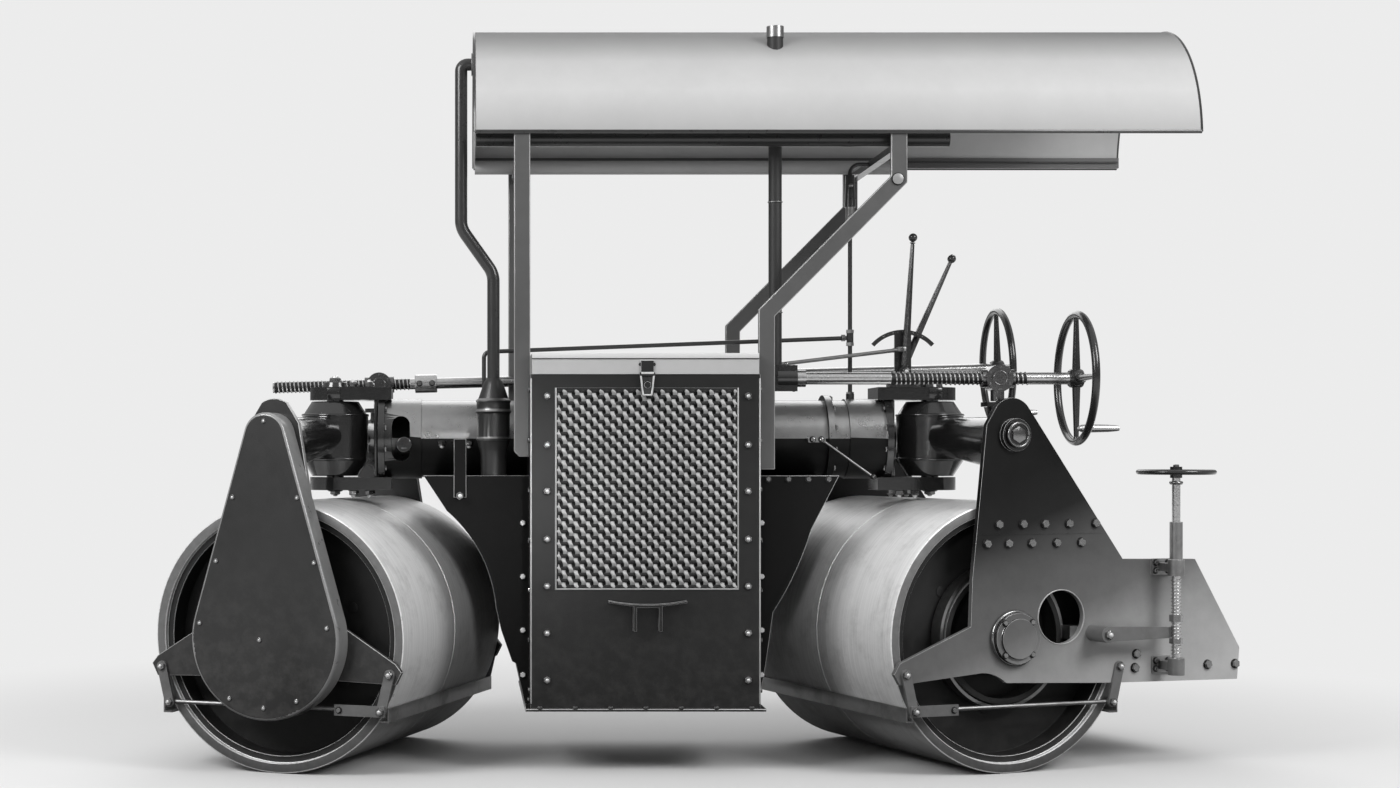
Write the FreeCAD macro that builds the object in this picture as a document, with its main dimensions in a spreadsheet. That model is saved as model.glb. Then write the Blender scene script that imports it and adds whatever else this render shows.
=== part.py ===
import FreeCAD, Part
import math
import os
import re
import Sketcher

# A tandem road roller with a roof. Two smooth steel rolls stand in yokes
# that swing on kingpins at the ends of a backbone tube. Millimetres, +Z up.
# Each assembly is drawn in its own frame and then placed: the chassis midway
# between the kingpins, each yoke on its kingpin, each steering screw on its
# axis. "near" is -Y, "far" is +Y, "left" is -X and "right" is +X.

SIZES = [
    # name, its value or a formula of other sizes, what it is
    ("datum_x", 287.53, "machine middle to the middle of the whole outline"),
    ("datum_y", 92.4, "the same across the machine"),
    ("kingpin_x", "=roll_r * 1.07 + 757", "machine middle to each kingpin"),
    ("yaw_left", -20.0, "left yoke as parked, degrees"),
    ("yaw_right", 19.5, "right yoke as parked, degrees"),
    ("fit", 0.3, "running clearance of a shaft or pin"),
    ("gap", 6.0, "clearance between pieces that move past each other"),
    # rolls
    ("roll_r", 600.0, "roll radius"),
    ("roll_half", 634.0, "half the roll's width"),
    ("roll_wall", 45.0, "thickness of the rolling shell"),
    ("step_wall", 30.0, "thickness of the stiffening ring inside the shell"),
    ("step_in", 22.0, "stiffening ring set back from the roll's end"),
    ("web_in", 134.0, "web disc set back from the roll's end"),
    ("web_thick", 20.0, "web disc"),
    ("hub_r", 125.0, "roll hub"),
    ("hub_half", "=roll_half - 19", "half the hub's length"),
    ("axle_r", 60.0, "axle"),
    ("drum_r", "=roll_r / 2", "brake drum"),
    ("drum_wide", 95.0, "brake drum's width"),
    ("band_thick", 14.0, "brake band"),
    # backbone
    ("tube_z", "=2 * roll_r + tube_r + 100", "backbone axis above the ground"),
    ("tube_r", 180.0, "backbone tube"),
    ("tube_wall", 20.0, "backbone wall"),
    ("sleeve_r", "=tube_r + 7", "thicker sleeve at the tube's ends"),
    ("sleeve_len", 200.0, "length of that sleeve"),
    ("flange_r", "=tube_r + 25", "flange rings"),
    ("flange_thick", 30.0, "flange rings"),
    ("flange_in", 208.0, "end flange's face to the kingpin"),
    ("mid_flange_x", "=kingpin_x - 494", "second flange ring from the machine's middle"),
    ("lug_thick", 60.0, "jaw lugs"),
    ("lug_r", 118.0, "round ends of the jaw lugs"),
    ("lug_low_z", "=tube_z - tube_r", "upper face of the lower lug"),
    ("lug_high_z", "=tube_z + tube_r", "lower face of the upper lug"),
    ("kingpin_r", 40.0, "kingpin"),
    ("kingpin_cap_r", 62.0, "kingpin cap"),
    ("kingpin_cap", 26.0, "height of the kingpin cap"),
    # yokes
    ("neck_z", "=tube_z + 10", "cross neck axis at the head"),
    ("neck_r", 86.0, "cross neck at the head"),
    ("neck_end_z", "=neck_z - 38", "cross neck axis at the side plates"),
    ("neck_end_r", 122.0, "cross neck at the side plates"),
    ("head_r", 155.0, "yoke head"),
    ("head_shoulder", 70.0, "height of the head's rounded shoulders"),
    ("cheek_in", "=roll_half + 11", "inner face of the yoke's side plates"),
    ("cheek_thick", 25.0, "yoke side plates"),
    ("case_deep", 105.0, "chain case"),
    ("case_low_r", 353.0, "chain case round the axle"),
    ("case_high_r", 100.0, "chain case round the cross neck"),
    ("case_round", 16.0, "rounded edge of the chain case"),
    ("arm_r", "=cheek_in - 100", "kingpin to the steering nut's pivot"),
    ("pad_r", 72.0, "pad under the steering nut"),
    ("pad_thick", 20.0, "the same, height"),
    ("post_r", 44.0, "post under the pad"),
    ("pivot_x", "=roll_r - 50", "scraper pivot from the axle"),
    ("pivot_z", "=roll_r - 141", "scraper pivot above the ground"),
    ("foot_x", "=sqrt(roll_r ^ 2 - 300 ^ 2) - 7.6152", "scraper's lower pin from the axle"),
    ("foot_z", "=roll_r - 300", "scraper's lower pin above the ground"),
    ("link_w", 46.0, "scraper link's width"),
    ("link_thick", 12.0, "scraper link"),
    ("blade_leg", 56.0, "legs of the scraper's angle iron"),
    ("blade_toe", 42.0, "lower leg of the scraper's angle iron"),
    ("blade_thick", 7.0, "angle iron"),
    ("deck_x", "=roll_r + 40", "operator's deck from the axle"),
    ("deck_end_x", "=deck_x + 556", "the deck's outer edge from the axle"),
    ("deck_z", "=roll_r - 168", "the deck above the ground"),
    ("deck_thick", 12.0, "deck plate"),
    ("brake_x", "=deck_x + 135", "brake screw from the axle"),
    ("brake_out", 110.0, "brake screw out from the side plate"),
    ("brake_wheel_z", "=deck_z + 896", "brake handwheel above the ground"),
    ("brake_wheel_r", 171.0, "brake handwheel"),
    ("brake_shaft_x", "=drum_r + 110", "brake shaft from the axle"),
    ("brake_shaft_z", "=roll_r + 12", "brake shaft above the ground"),
    # engine housing
    ("house_left", 500.0, "housing's left wall from the middle"),
    ("house_right", 510.0, "housing's right wall from the middle"),
    ("house_near", 620.0, "housing's near wall from the middle"),
    ("house_far", "=arm_r * cos(yaw_left) - 52.1325", "housing's far wall from the middle"),
    ("house_low", 290.0, "housing's lower edge"),
    ("house_high", "=tube_z + tube_r + 100", "housing's upper edge"),
    ("sheet", 6.0, "housing and lid sheet"),
    ("floor_thick", 12.0, "floor plate under the housing"),
    ("ledge", 24.0, "floor plate standing out round the housing"),
    ("grille_left", 392.0, "grille's left side from the middle"),
    ("grille_right", 415.0, "grille's right side from the middle"),
    ("grille_low", 812.0, "grille's lower side"),
    ("grille_high", "=house_high - 60", "grille's upper side"),
    ("grille_rim", 14.0, "grille's frame"),
    ("wire", 9.0, "grille wire"),
    ("lid_high", 92.0, "lid's height"),
    ("hinge_up", 3.0, "hinge axis above the lid"),
    ("hinge_r", 5.0, "hinge rod"),
    ("lid_edge", 10.0, "the lid halves' inner edges from the hinge"),
    ("wing_half", "=house_far - 10", "middle of the frame's side plates"),
    ("wing_thick", 12.0, "frame side plates"),
    ("wing_high", "=tube_z - tube_r + 12", "frame side plates' upper edge"),
    # roof
    ("roof_z", "=house_high + 1040", "centre of the roof's arch"),
    ("roof_r", "=post_out + 1.5", "inside of the roof's arch"),
    ("roof_sheet", 6.0, "roof sheet"),
    ("eave_z", "=roof_z + 32", "lower edge of the eaves"),
    ("eave_high", 50.0, "eave rails"),
    ("roof_left", 746.0, "roof's left end from the middle"),
    ("roof_right", "=kingpin_x + 1069", "roof's right end from the middle"),
    ("post_out", "=arm_r * cos(yaw_right) + 59.76", "outer face of the roof posts"),
    ("post_thick", 26.0, "roof posts across the machine"),
    ("post_w", 72.0, "roof posts along the machine"),
    ("post_foot_z", "=tube_z - 84", "foot of the left posts"),
    ("strut_foot_z", "=tube_z - 140", "foot of the right posts"),
    ("knee_z", "=house_high + 273", "lower bend of the right posts"),
    ("elbow_x", "=kingpin_x - 267", "upper bend of the right posts"),
    ("elbow_z", "=roof_z - 175", "the same, height"),
    ("rail_y", "=round(post_out - 123.5)", "roof tubes from the middle"),
    ("rail_r", 34.0, "roof tubes"),
    ("rail_right", "=kingpin_x - 19", "roof tubes' right end"),
    # pipes and fittings
    ("exhaust_x", "=house_right + 107", "exhaust pipe"),
    ("exhaust_y", "=100 - rail_y", "exhaust pipe"),
    ("exhaust_r", 30.0, "exhaust pipe"),
    ("exhaust_top", "=roof_z + sqrt((roof_r + roof_sheet) ^ 2 - exhaust_y ^ 2) + 81.25", "exhaust outlet above the ground"),
    ("stub_r", "=exhaust_r + 9", "exhaust outlet's stub"),
    ("stub_high", 50.0, "the same, height"),
    ("exhaust_bend", 75.0, "bend of the exhaust pipe"),
    ("intake_bend", 110.0, "bends of the intake pipe"),
    ("cleaner_x", "=-house_left - 160", "air cleaner"),
    ("cleaner_y", "=80 - rail_y", "air cleaner"),
    ("cleaner_r", 76.0, "air cleaner"),
    ("intake_r", 28.0, "intake pipe up to the roof"),
    ("feed_x", "=kingpin_x - 375", "feed pipe"),
    ("feed_r", 10.0, "feed pipe"),
    ("lever_x", "=kingpin_x - 149", "hand levers' pivot"),
    ("lever_z", "=lug_high_z + 130", "the same, height"),
    # steering
    ("screw_z", "=lug_high_z + 85", "near steering screw's axis"),
    ("screw_r", 27.0, "steering screw's plain shaft"),
    ("thread_r", "=screw_r + 2.5", "its threaded stretch"),
    ("near_slope", 0.0, "near screw's rise, degrees"),
    ("far_slope", -1.5, "far screw's rise, degrees, to the operator"),
    ("far_screw_z", "=lug_high_z + 91", "far screw's axis at its nut"),
    ("wheel_r", 300.0, "handwheel"),
    ("wheel_rim_r", 17.0, "handwheel's rim"),
    ("nut_r", 60.0, "steering nut"),
    ("nut_half", 48.0, "half the nut's width"),
]

doc = FreeCAD.newDocument("RoadRoller")
sheet = doc.addObject("Spreadsheet::Sheet", "Sizes")
for row, (alias, amount, note) in enumerate(SIZES, start=1):
    sheet.set(f"A{row}", alias)
    sheet.set(f"C{row}", note)
    sheet.setAlias(f"B{row}", alias)
for row, (alias, amount, note) in enumerate(SIZES, start=1):
    sheet.set(f"B{row}", str(amount))
doc.recompute()
NAMES = {alias for alias, amount, note in SIZES}
AXES = {"X": FreeCAD.Vector(1, 0, 0), "Y": FreeCAD.Vector(0, 1, 0), "Z": FreeCAD.Vector(0, 0, 1)}
# Turns a primitive that points along Z so that it points along an axis.
TURNS = {
    "X": FreeCAD.Rotation(AXES["Y"], 90),
    "Y": FreeCAD.Rotation(AXES["X"], -90),
    "Z": FreeCAD.Rotation(),
}


def bound(text):
    """Give a size expression the sheet's name in front of each of its aliases."""
    return re.sub(r"[a-z_]+", lambda m: "Sizes." + m.group() if m.group() in NAMES else m.group(), str(text))


def worth(text):
    """The number that a size expression comes to."""
    found = sheet.evalExpression(bound(text))
    return float(getattr(found, "Value", found))


def bind(piece, **settings):
    """Bind properties of a piece; a double underscore stands for a dot."""
    for path, text in settings.items():
        piece.setExpression(path.replace("__", "."), bound(text))


def put(piece, x, y, z):
    """Bind the place of a piece."""
    bind(piece, Placement__Base__x=x, Placement__Base__y=y, Placement__Base__z=z)


def box(name, x, y, z):
    """A box between two bounds along each axis."""
    piece = doc.addObject("Part::Box", name)
    bind(piece, Length=f"({x[1]}) - ({x[0]})", Width=f"({y[1]}) - ({y[0]})", Height=f"({z[1]}) - ({z[0]})")
    put(piece, x[0], y[0], z[0])
    return piece


def rod(name, axis, start, end, radius, at):
    """A round bar along an axis, from start to end; at is its place on the other two axes."""
    piece = doc.addObject("Part::Cylinder", name)
    piece.Placement.Rotation = TURNS[axis]
    bind(piece, Radius=radius, Height=f"({end}) - ({start})")
    spot = list(at)
    spot.insert("XYZ".index(axis), start)
    put(piece, *spot)
    return piece


def cone(name, axis, start, end, radii, at):
    """A round bar that tapers from the first radius to the second."""
    piece = doc.addObject("Part::Cone", name)
    piece.Placement.Rotation = TURNS[axis]
    bind(piece, Radius1=radii[0], Radius2=radii[1], Height=f"({end}) - ({start})")
    spot = list(at)
    spot.insert("XYZ".index(axis), start)
    put(piece, *spot)
    return piece


def ring(name, axis, at, radius, bar):
    """A round rim on an axis."""
    piece = doc.addObject("Part::Torus", name)
    piece.Placement.Rotation = TURNS[axis]
    bind(piece, Radius1=radius, Radius2=bar)
    put(piece, *at)
    return piece


def ball(name, at, radius):
    """A ball."""
    piece = doc.addObject("Part::Sphere", name)
    bind(piece, Radius=radius)
    put(piece, *at)
    return piece


def join(name, pieces):
    """One solid of several that meet."""
    piece = doc.addObject("Part::MultiFuse", name)
    piece.Shapes = pieces
    piece.Refine = True
    return piece


def group(name, pieces):
    """Like pieces that share a node without touching."""
    piece = doc.addObject("Part::Compound", name)
    piece.Links = pieces
    return piece


def cut(name, base, tools):
    """A piece with others cut out of it."""
    piece = doc.addObject("Part::Cut", name)
    piece.Base = base
    piece.Tool = tools[0] if len(tools) == 1 else join(name + "_tools", tools)
    piece.Refine = True
    return piece


def flat_sketch(body, plane, offset, right="0", up="0"):
    """A sketch on one of a body's own planes, moved along the plane's normal."""
    sketch = body.newObject("Sketcher::SketchObject", body.Name + "_outline")
    home = [f for f in body.Origin.OriginFeatures if f.Role == plane + "_Plane"][0]
    sketch.AttachmentSupport = [(home, "")]
    sketch.MapMode = "FlatFace"
    bind(sketch, AttachmentOffset__Base__x=right, AttachmentOffset__Base__y=up, AttachmentOffset__Base__z=offset)
    return sketch


def draw(sketch, corners):
    """Close an outline through corners (across, up[, radius]), bound to the sheet.

    A radius bends the side that leaves its corner: positive bulges to the right
    of the way round, negative to the left.
    """
    spots = [FreeCAD.Vector(worth(c[0]), worth(c[1]), 0) for c in corners]
    for i, corner in enumerate(corners):
        start, end = spots[i], spots[(i + 1) % len(spots)]
        if len(corner) < 3:
            sketch.addGeometry(Part.LineSegment(start, end), False)
            continue
        radius = worth(corner[2])
        chord = end - start
        left = FreeCAD.Vector(-chord.y, chord.x, 0) / chord.Length
        reach = math.sqrt(radius ** 2 - chord.Length ** 2 / 4)
        middle = (start + end) / 2 + left * (reach if radius > 0 else -reach)
        low, high = (start, end) if radius > 0 else (end, start)
        circle = Part.Circle(middle, AXES["Z"], abs(radius))
        first = math.atan2(low.y - middle.y, low.x - middle.x)
        last = math.atan2(high.y - middle.y, high.x - middle.x)
        sketch.addGeometry(Part.ArcOfCircle(circle, first, last), False)
    for i, corner in enumerate(corners):
        before = (i - 1) % len(corners)
        ends = [2 if len(corners[before]) < 3 or worth(corners[before][2]) > 0 else 1,
                1 if len(corner) < 3 or worth(corner[2]) > 0 else 2]
        sketch.addConstraint(Sketcher.Constraint("Coincident", before, ends[0], i, ends[1]))
        for way, text, number in (("DistanceX", corner[0], spots[i].x), ("DistanceY", corner[1], spots[i].y)):
            index = sketch.addConstraint(Sketcher.Constraint(way, -1, 1, i, ends[1], number))
            sketch.setExpression(f"Constraints[{index}]", bound(text))
        if len(corner) == 3:
            index = sketch.addConstraint(Sketcher.Constraint("Radius", i, abs(worth(corner[2]))))
            sketch.setExpression(f"Constraints[{index}]", bound(corner[2].lstrip("-")))


def plate(name, plane, low, high, corners):
    """A flat piece: an outline on a plane, given its thickness from low to high."""
    body = doc.addObject("PartDesign::Body", name)
    sketch = flat_sketch(body, plane, f"-({high})" if plane == "XZ" else low)
    draw(sketch, corners)
    pad = body.newObject("PartDesign::Pad", name + "_pad")
    pad.Profile = sketch
    bind(pad, Length=f"({high}) - ({low})")
    return body


def turned(name, axis, at, corners):
    """A round piece: an outline (along the axis, radius) turned round an axis.

    at is the axis's place on the other two axes, in X, Y, Z order.
    """
    body = doc.addObject("PartDesign::Body", name)
    if axis == "X":
        sketch = flat_sketch(body, "XZ", f"-({at[0]})", up=at[1])
    elif axis == "Y":
        sketch = flat_sketch(body, "YZ", at[0], up=at[1])
    else:
        sketch = flat_sketch(body, "XZ", f"-({at[1]})", right=at[0])
    if axis == "Z":
        corners = [(radius, along) + tuple(rest) for along, radius, *rest in corners]
    draw(sketch, corners)
    turn = body.newObject("PartDesign::Revolution", name + "_turn")
    turn.Profile = sketch
    turn.ReferenceAxis = (sketch, ["V_Axis" if axis == "Z" else "H_Axis"])
    turn.Angle = 360
    return body


NODES = []


def node(piece, label, frame=("0", "0", "0", "Z", "0")):
    """Name a finished piece and place it by its assembly's frame.

    frame is the frame's origin on the machine, the axis it turns about, and the turn.
    """
    x, y, z, axis, angle = frame
    piece.Label = label
    piece.Placement.Rotation = FreeCAD.Rotation(AXES[axis], 1)
    put(piece, f"({x}) - datum_x", f"({y}) - datum_y", z)
    bind(piece, Placement__Rotation__Angle=angle)
    NODES.append(piece)


SIDES = {"near": "-1", "far": "1"}
LEFT = ("-kingpin_x", "0", "0", "Z", "yaw_left")
RIGHT = ("kingpin_x", "0", "0", "Z", "yaw_right")

# The rolls: a thick shell, a stiffening ring set into each end, two web discs and a hub.
for label, frame in (("roll_left", LEFT), ("roll_right", RIGHT)):
    shell = turned(label + "_shell", "Y", ("0", "roll_r"), [
        ("-roll_half", "roll_r - roll_wall"),
        ("roll_half", "roll_r - roll_wall"),
        ("roll_half", "roll_r"),
        ("-roll_half", "roll_r"),
    ])
    hub = turned(label + "_hub", "Y", ("0", "roll_r"), [
        ("-hub_half", "axle_r + fit"),
        ("hub_half", "axle_r + fit"),
        ("hub_half", "hub_r - 25"),
        ("roll_half - web_in", "hub_r"),
        ("web_in - roll_half", "hub_r"),
        ("-hub_half", "hub_r - 25"),
    ])
    parts = [shell, hub]
    for side, sign in SIDES.items():
        face = f"{sign} * (roll_half - web_in)"
        back = f"{sign} * (roll_half - web_in - web_thick)"
        low, high = (face, back) if side == "near" else (back, face)
        parts.append(turned(f"{label}_web_{side}", "Y", ("0", "roll_r"), [
            (low, "hub_r - 20"),
            (high, "hub_r - 20"),
            (high, "roll_r - roll_wall + 10"),
            (low, "roll_r - roll_wall + 10"),
        ]))
        lip = f"{sign} * (roll_half - step_in)"
        low, high = (lip, back) if side == "near" else (back, lip)
        parts.append(turned(f"{label}_step_{side}", "Y", ("0", "roll_r"), [
            (low, "roll_r - roll_wall - step_wall"),
            (high, "roll_r - roll_wall - step_wall"),
            (high, "roll_r - roll_wall + 10"),
            (low, "roll_r - roll_wall + 10"),
        ]))
    node(join(label, parts), label, frame)

# The brake drum stands on the right roll's near web.
drum = turned("drum", "Y", ("0", "roll_r"), [
    ("web_in - roll_half - drum_wide", "drum_r - 25"),
    ("web_in - roll_half", "drum_r - 25"),
    ("web_in - roll_half", "drum_r"),
    ("web_in - roll_half - drum_wide", "drum_r"),
])
node(drum, "brake_drum", RIGHT)

# The backbone: a tube with thicker sleeves and flange rings, and a jaw of two lugs at each end.
END = "kingpin_x - flange_in"
SLEEVE = f"{END} - sleeve_len"
core = turned("backbone_core", "X", ("0", "tube_z"), [
    (f"-({END})", "tube_r - tube_wall"),
    (END, "tube_r - tube_wall"),
    (END, "flange_r"),
    (f"{END} - flange_thick", "flange_r"),
    (f"{END} - flange_thick", "sleeve_r"),
    (SLEEVE, "sleeve_r"),
    (SLEEVE, "tube_r"),
    ("mid_flange_x + flange_thick / 2", "tube_r"),
    ("mid_flange_x + flange_thick / 2", "flange_r"),
    ("mid_flange_x - flange_thick / 2", "flange_r"),
    ("mid_flange_x - flange_thick / 2", "tube_r"),
    (f"-({SLEEVE})", "tube_r"),
    (f"-({SLEEVE})", "sleeve_r"),
    (f"flange_thick - ({END})", "sleeve_r"),
    (f"flange_thick - ({END})", "flange_r"),
    (f"-({END})", "flange_r"),
])
parts = [core]
holes = []
for label, sign in (("left", "-1"), ("right", "1")):
    for level, low, high in (("low", "lug_low_z - lug_thick", "lug_low_z"),
                             ("high", "lug_high_z", "lug_high_z + lug_thick")):
        name = f"lug_{label}_{level}"
        tip = rod(name + "_tip", "Z", low, high, "lug_r", (f"{sign} * kingpin_x", "0"))
        ends = (f"{END} - 60", "kingpin_x") if label == "right" else ("-kingpin_x", f"60 - ({END})")
        slab = box(name + "_slab", ends, ("-lug_r", "lug_r"), (low, high))
        parts += [tip, slab]
    hole = rod(f"kingpin_hole_{label}", "Z", "lug_low_z - lug_thick - 5", "lug_high_z + lug_thick + 5",
               "kingpin_r", (f"{sign} * kingpin_x", "0"))
    end_cap = rod(f"jaw_cap_{label}", "X", *((f"{END} - 14", END) if label == "right" else
                  (f"-({END})", f"14 - ({END})")), "tube_r", ("0", "tube_z"))
    parts.append(end_cap)
    holes.append(hole)
# A long round-ended window in the left sleeve, on the near side.
for name, up in (("window_low", "-62"), ("window_high", "62")):
    holes.append(rod(name, "Y", "-sleeve_r - 20", "-100", "42", ("314 - kingpin_x", f"tube_z + ({up})")))
holes.append(box("window_middle", ("272 - kingpin_x", "356 - kingpin_x"), ("-sleeve_r - 20", "-100"), ("tube_z - 62", "tube_z + 62")))
node(cut("backbone_tube", join("backbone_solid", parts), holes), "backbone_tube")

kingpins = []
for label, sign in (("left", "-1"), ("right", "1")):
    low, high = "lug_low_z - lug_thick", "lug_high_z + lug_thick"
    pin = turned(f"kingpin_{label}", "Z", (f"{sign} * kingpin_x", "0"), [
        (f"{low} - 8", "0"),
        (f"{low} - 8", "kingpin_r - 8"),
        (low, "kingpin_r"),
        (high, "kingpin_r"),
        (high, "kingpin_cap_r"),
        (f"{high} + kingpin_cap", "kingpin_cap_r - 8"),
        (f"{high} + kingpin_cap", "0"),
    ])
    kingpins.append(pin)
node(group("kingpins", kingpins), "kingpins")

# The frame's side plates stand on either side of the housing, cut back to clear the rolls.
LEFT_WING = [
    ("-house_left", "house_low"),
    ("-house_left", "wing_high"),
    ("-house_left - 475", "wing_high"),
    ("-house_left - 370", "roll_r + 553", "-640"),
    ("-house_left - 150", "roll_r + 120"),
    ("-house_left - 127", "roll_r + 20"),
    ("-house_left - 78", "roll_r - 120"),
    ("-house_left - 60", "roll_r - 130"),
    ("-house_left - 20", "house_low"),
]
RIGHT_WING = [
    ("house_right", "house_low"),
    ("house_right + 16", "house_low"),
    ("house_right + 50", "roll_r - 130"),
    ("house_right + 82", "roll_r + 100", "1400"),
    ("house_right + 253", "roll_r + 470"),
    ("house_right + 378", "wing_high"),
    ("house_right", "wing_high"),
]
# A saddle plate joins each pair under the tube, and a strap stands on the left one's near face.
REACH = ("wing_thick / 2 - wing_half", "wing_half - wing_thick / 2")
SADDLE_Z = ("tube_z - tube_r - 10", "tube_z - tube_r")
WING_FACE = "-wing_half - wing_thick / 2"
strap = [
    box("strap_bar", ("-house_left - 338", "-house_left - 284"), (f"{WING_FACE} - 8", WING_FACE), ("tube_z - 265", "tube_z - 4")),
    rod("strap_pin", "Y", f"{WING_FACE} - 26", WING_FACE, "15", ("-house_left - 311", "tube_z - 258")),
]
for label, outline, reach, extras in (("left", LEFT_WING, ("-house_left - 430", "-house_left"), strap),
                                      ("right", RIGHT_WING, ("house_right", "house_right + 340"), [])):
    pieces = [box(f"saddle_{label}", reach, REACH, SADDLE_Z)] + extras
    for side, sign in SIDES.items():
        low = f"{sign} * wing_half - wing_thick / 2"
        high = f"{sign} * wing_half + wing_thick / 2"
        pieces.append(plate(f"wing_{label}_{side}", "XZ", low, high, outline))
    node(join(f"frame_{label}", pieces), f"frame_{label}")

# The yokes. Each has a cross neck with a head that turns in the jaw, a steering post,
# side plates, a chain case on one side, an axle and scrapers for the roll.
AXLE = ("0", "roll_r")


def crosshead(label, frame, post_side, post_top):
    """The head, the cross neck to both side plates and the post under the steering nut."""
    head = turned(label + "_head", "Z", ("0", "0"), [
        ("lug_low_z + gap", "kingpin_r + fit"),
        ("lug_low_z + gap", "head_r - 45"),
        ("lug_low_z + gap + head_shoulder", "head_r"),
        ("lug_high_z - gap - head_shoulder", "head_r"),
        ("lug_high_z - gap", "head_r - 45"),
        ("lug_high_z - gap", "kingpin_r + fit"),
    ])
    pieces = []
    for side, sign in SIDES.items():
        loops = []
        for where, radius, height, out in (("in", "neck_r", "neck_z", "110"),
                                           ("out", "neck_end_r", "neck_end_z", "cheek_in - 22")):
            loop = doc.addObject("Part::Circle", f"{label}_{side}_{where}")
            loop.Placement.Rotation = TURNS["Y"]
            bind(loop, Radius=radius)
            put(loop, "0", f"{sign} * ({out})", height)
            loops.append(loop)
        neck = doc.addObject("Part::Loft", f"{label}_neck_{side}")
        neck.Sections = loops
        neck.Solid = True
        neck.Ruled = True
        out = [f"{sign} * (cheek_in - 30)", f"{sign} * cheek_in"]
        low, high = out[::-1] if side == "near" else out
        pieces += [neck, rod(f"{label}_seat_{side}", "Y", low, high, "neck_end_r + 14", ("0", "neck_end_z"))]
    hole = rod(label + "_bore", "Z", "lug_low_z", "lug_high_z", "kingpin_r + fit", ("0", "0"))
    base = cut(label + "_cross", join(label + "_cross_solid", [head] + pieces), [hole])
    sign = SIDES[post_side]
    post = rod(label + "_post", "Z", "neck_z", f"{post_top} - pad_thick", "post_r", ("0", f"{sign} * arm_r"))
    pad = rod(label + "_pad", "Z", f"{post_top} - pad_thick", post_top, "pad_r", ("0", f"{sign} * arm_r"))
    node(join(label, [base, post, pad]), label, frame)


crosshead("crosshead_left", LEFT, "far", "far_screw_z - nut_r - 58")
crosshead("crosshead_right", RIGHT, "near", "screw_z - nut_r - 46")

# Side plates. The plain one tapers from the cross neck down to the axle; the long one
# runs on outwards beside the operator's deck. Both have an arm for the scrapers.
PLAIN_PLATE = [
    ("pivot_x + 25", "pivot_z - 44"),
    ("pivot_x + 53", "pivot_z + 11"),
    ("pivot_x + 25", "pivot_z + 46"),
    ("262", "roll_r + 100"),
    ("118", "neck_z + 55"),
    ("60", "neck_z + 145", "110"),
    ("-60", "neck_z + 145"),
    ("-118", "neck_z + 55"),
    ("-262", "roll_r + 100"),
    ("-pivot_x - 25", "pivot_z + 46"),
    ("-pivot_x - 53", "pivot_z + 11"),
    ("-pivot_x - 25", "pivot_z - 44"),
    ("-230", "pivot_z - 34", "525"),
    ("230", "pivot_z - 34"),
]
LONG_PLATE = [
    ("-pivot_x - 25", "pivot_z - 44"),
    ("-162", "pivot_z - 7", "-190"),
    ("-40", "pivot_z - 55"),
    ("deck_x - 153", "deck_z - 47"),
    ("deck_end_x + 8", "deck_z - 56"),
    ("deck_end_x + 21", "deck_z + 89"),
    ("deck_end_x - 227", "deck_z + 499"),
    ("deck_x - 66", "deck_z + 506"),
    ("98", "neck_z + 95"),
    ("70", "neck_z + 132", "105"),
    ("-85", "neck_z + 132"),
    ("-139", "neck_z + 47"),
    ("-212", "roll_r + 260"),
    ("-220", "roll_r + 55"),
    ("-pivot_x - 25", "pivot_z + 48"),
    ("-pivot_x - 53", "pivot_z + 3"),
]
HOLE_X, HOLE_Z, HOLE_R = "drum_r - 55", "roll_r + 86", "118"


def side_plate(label, frame, side, outline, tools=()):
    """A side plate with a raised boss at the axle and another at the cross neck."""
    sign = SIDES[side]
    low, high = f"{sign} * cheek_in", f"{sign} * (cheek_in + cheek_thick)"
    if side == "near":
        low, high = high, low
    sheet_piece = plate(label + "_plate", "XZ", low, high, outline)
    pieces = [sheet_piece]
    if not tools:
        return sheet_piece
    for name, height, wide, cap, out in (("axle", "roll_r", "112", "88", "35"), ("neck", "neck_z + 3", "72", "46", "24")):
        face = f"{sign} * (cheek_in + cheek_thick - 5)"
        rim = f"{sign} * (cheek_in + cheek_thick + {out})"
        top = f"{sign} * (cheek_in + cheek_thick + {out} + 12)"
        bounds = [(rim, face), (top, face)] if side == "near" else [(face, rim), (face, top)]
        pieces.append(rod(f"{label}_{name}_ring", "Y", *bounds[0], wide, ("0", height)))
        pieces.append(rod(f"{label}_{name}_cap", "Y", *bounds[1], cap, ("0", height)))
    solid = join(label + "_solid", pieces)
    cuts = [rod(f"{label}_hole", "Y", f"{low} - 30", f"{high} + 30", HOLE_R, (HOLE_X, HOLE_Z))] if "hole" in tools else []
    return cut(label, solid, cuts) if cuts else solid


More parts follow.
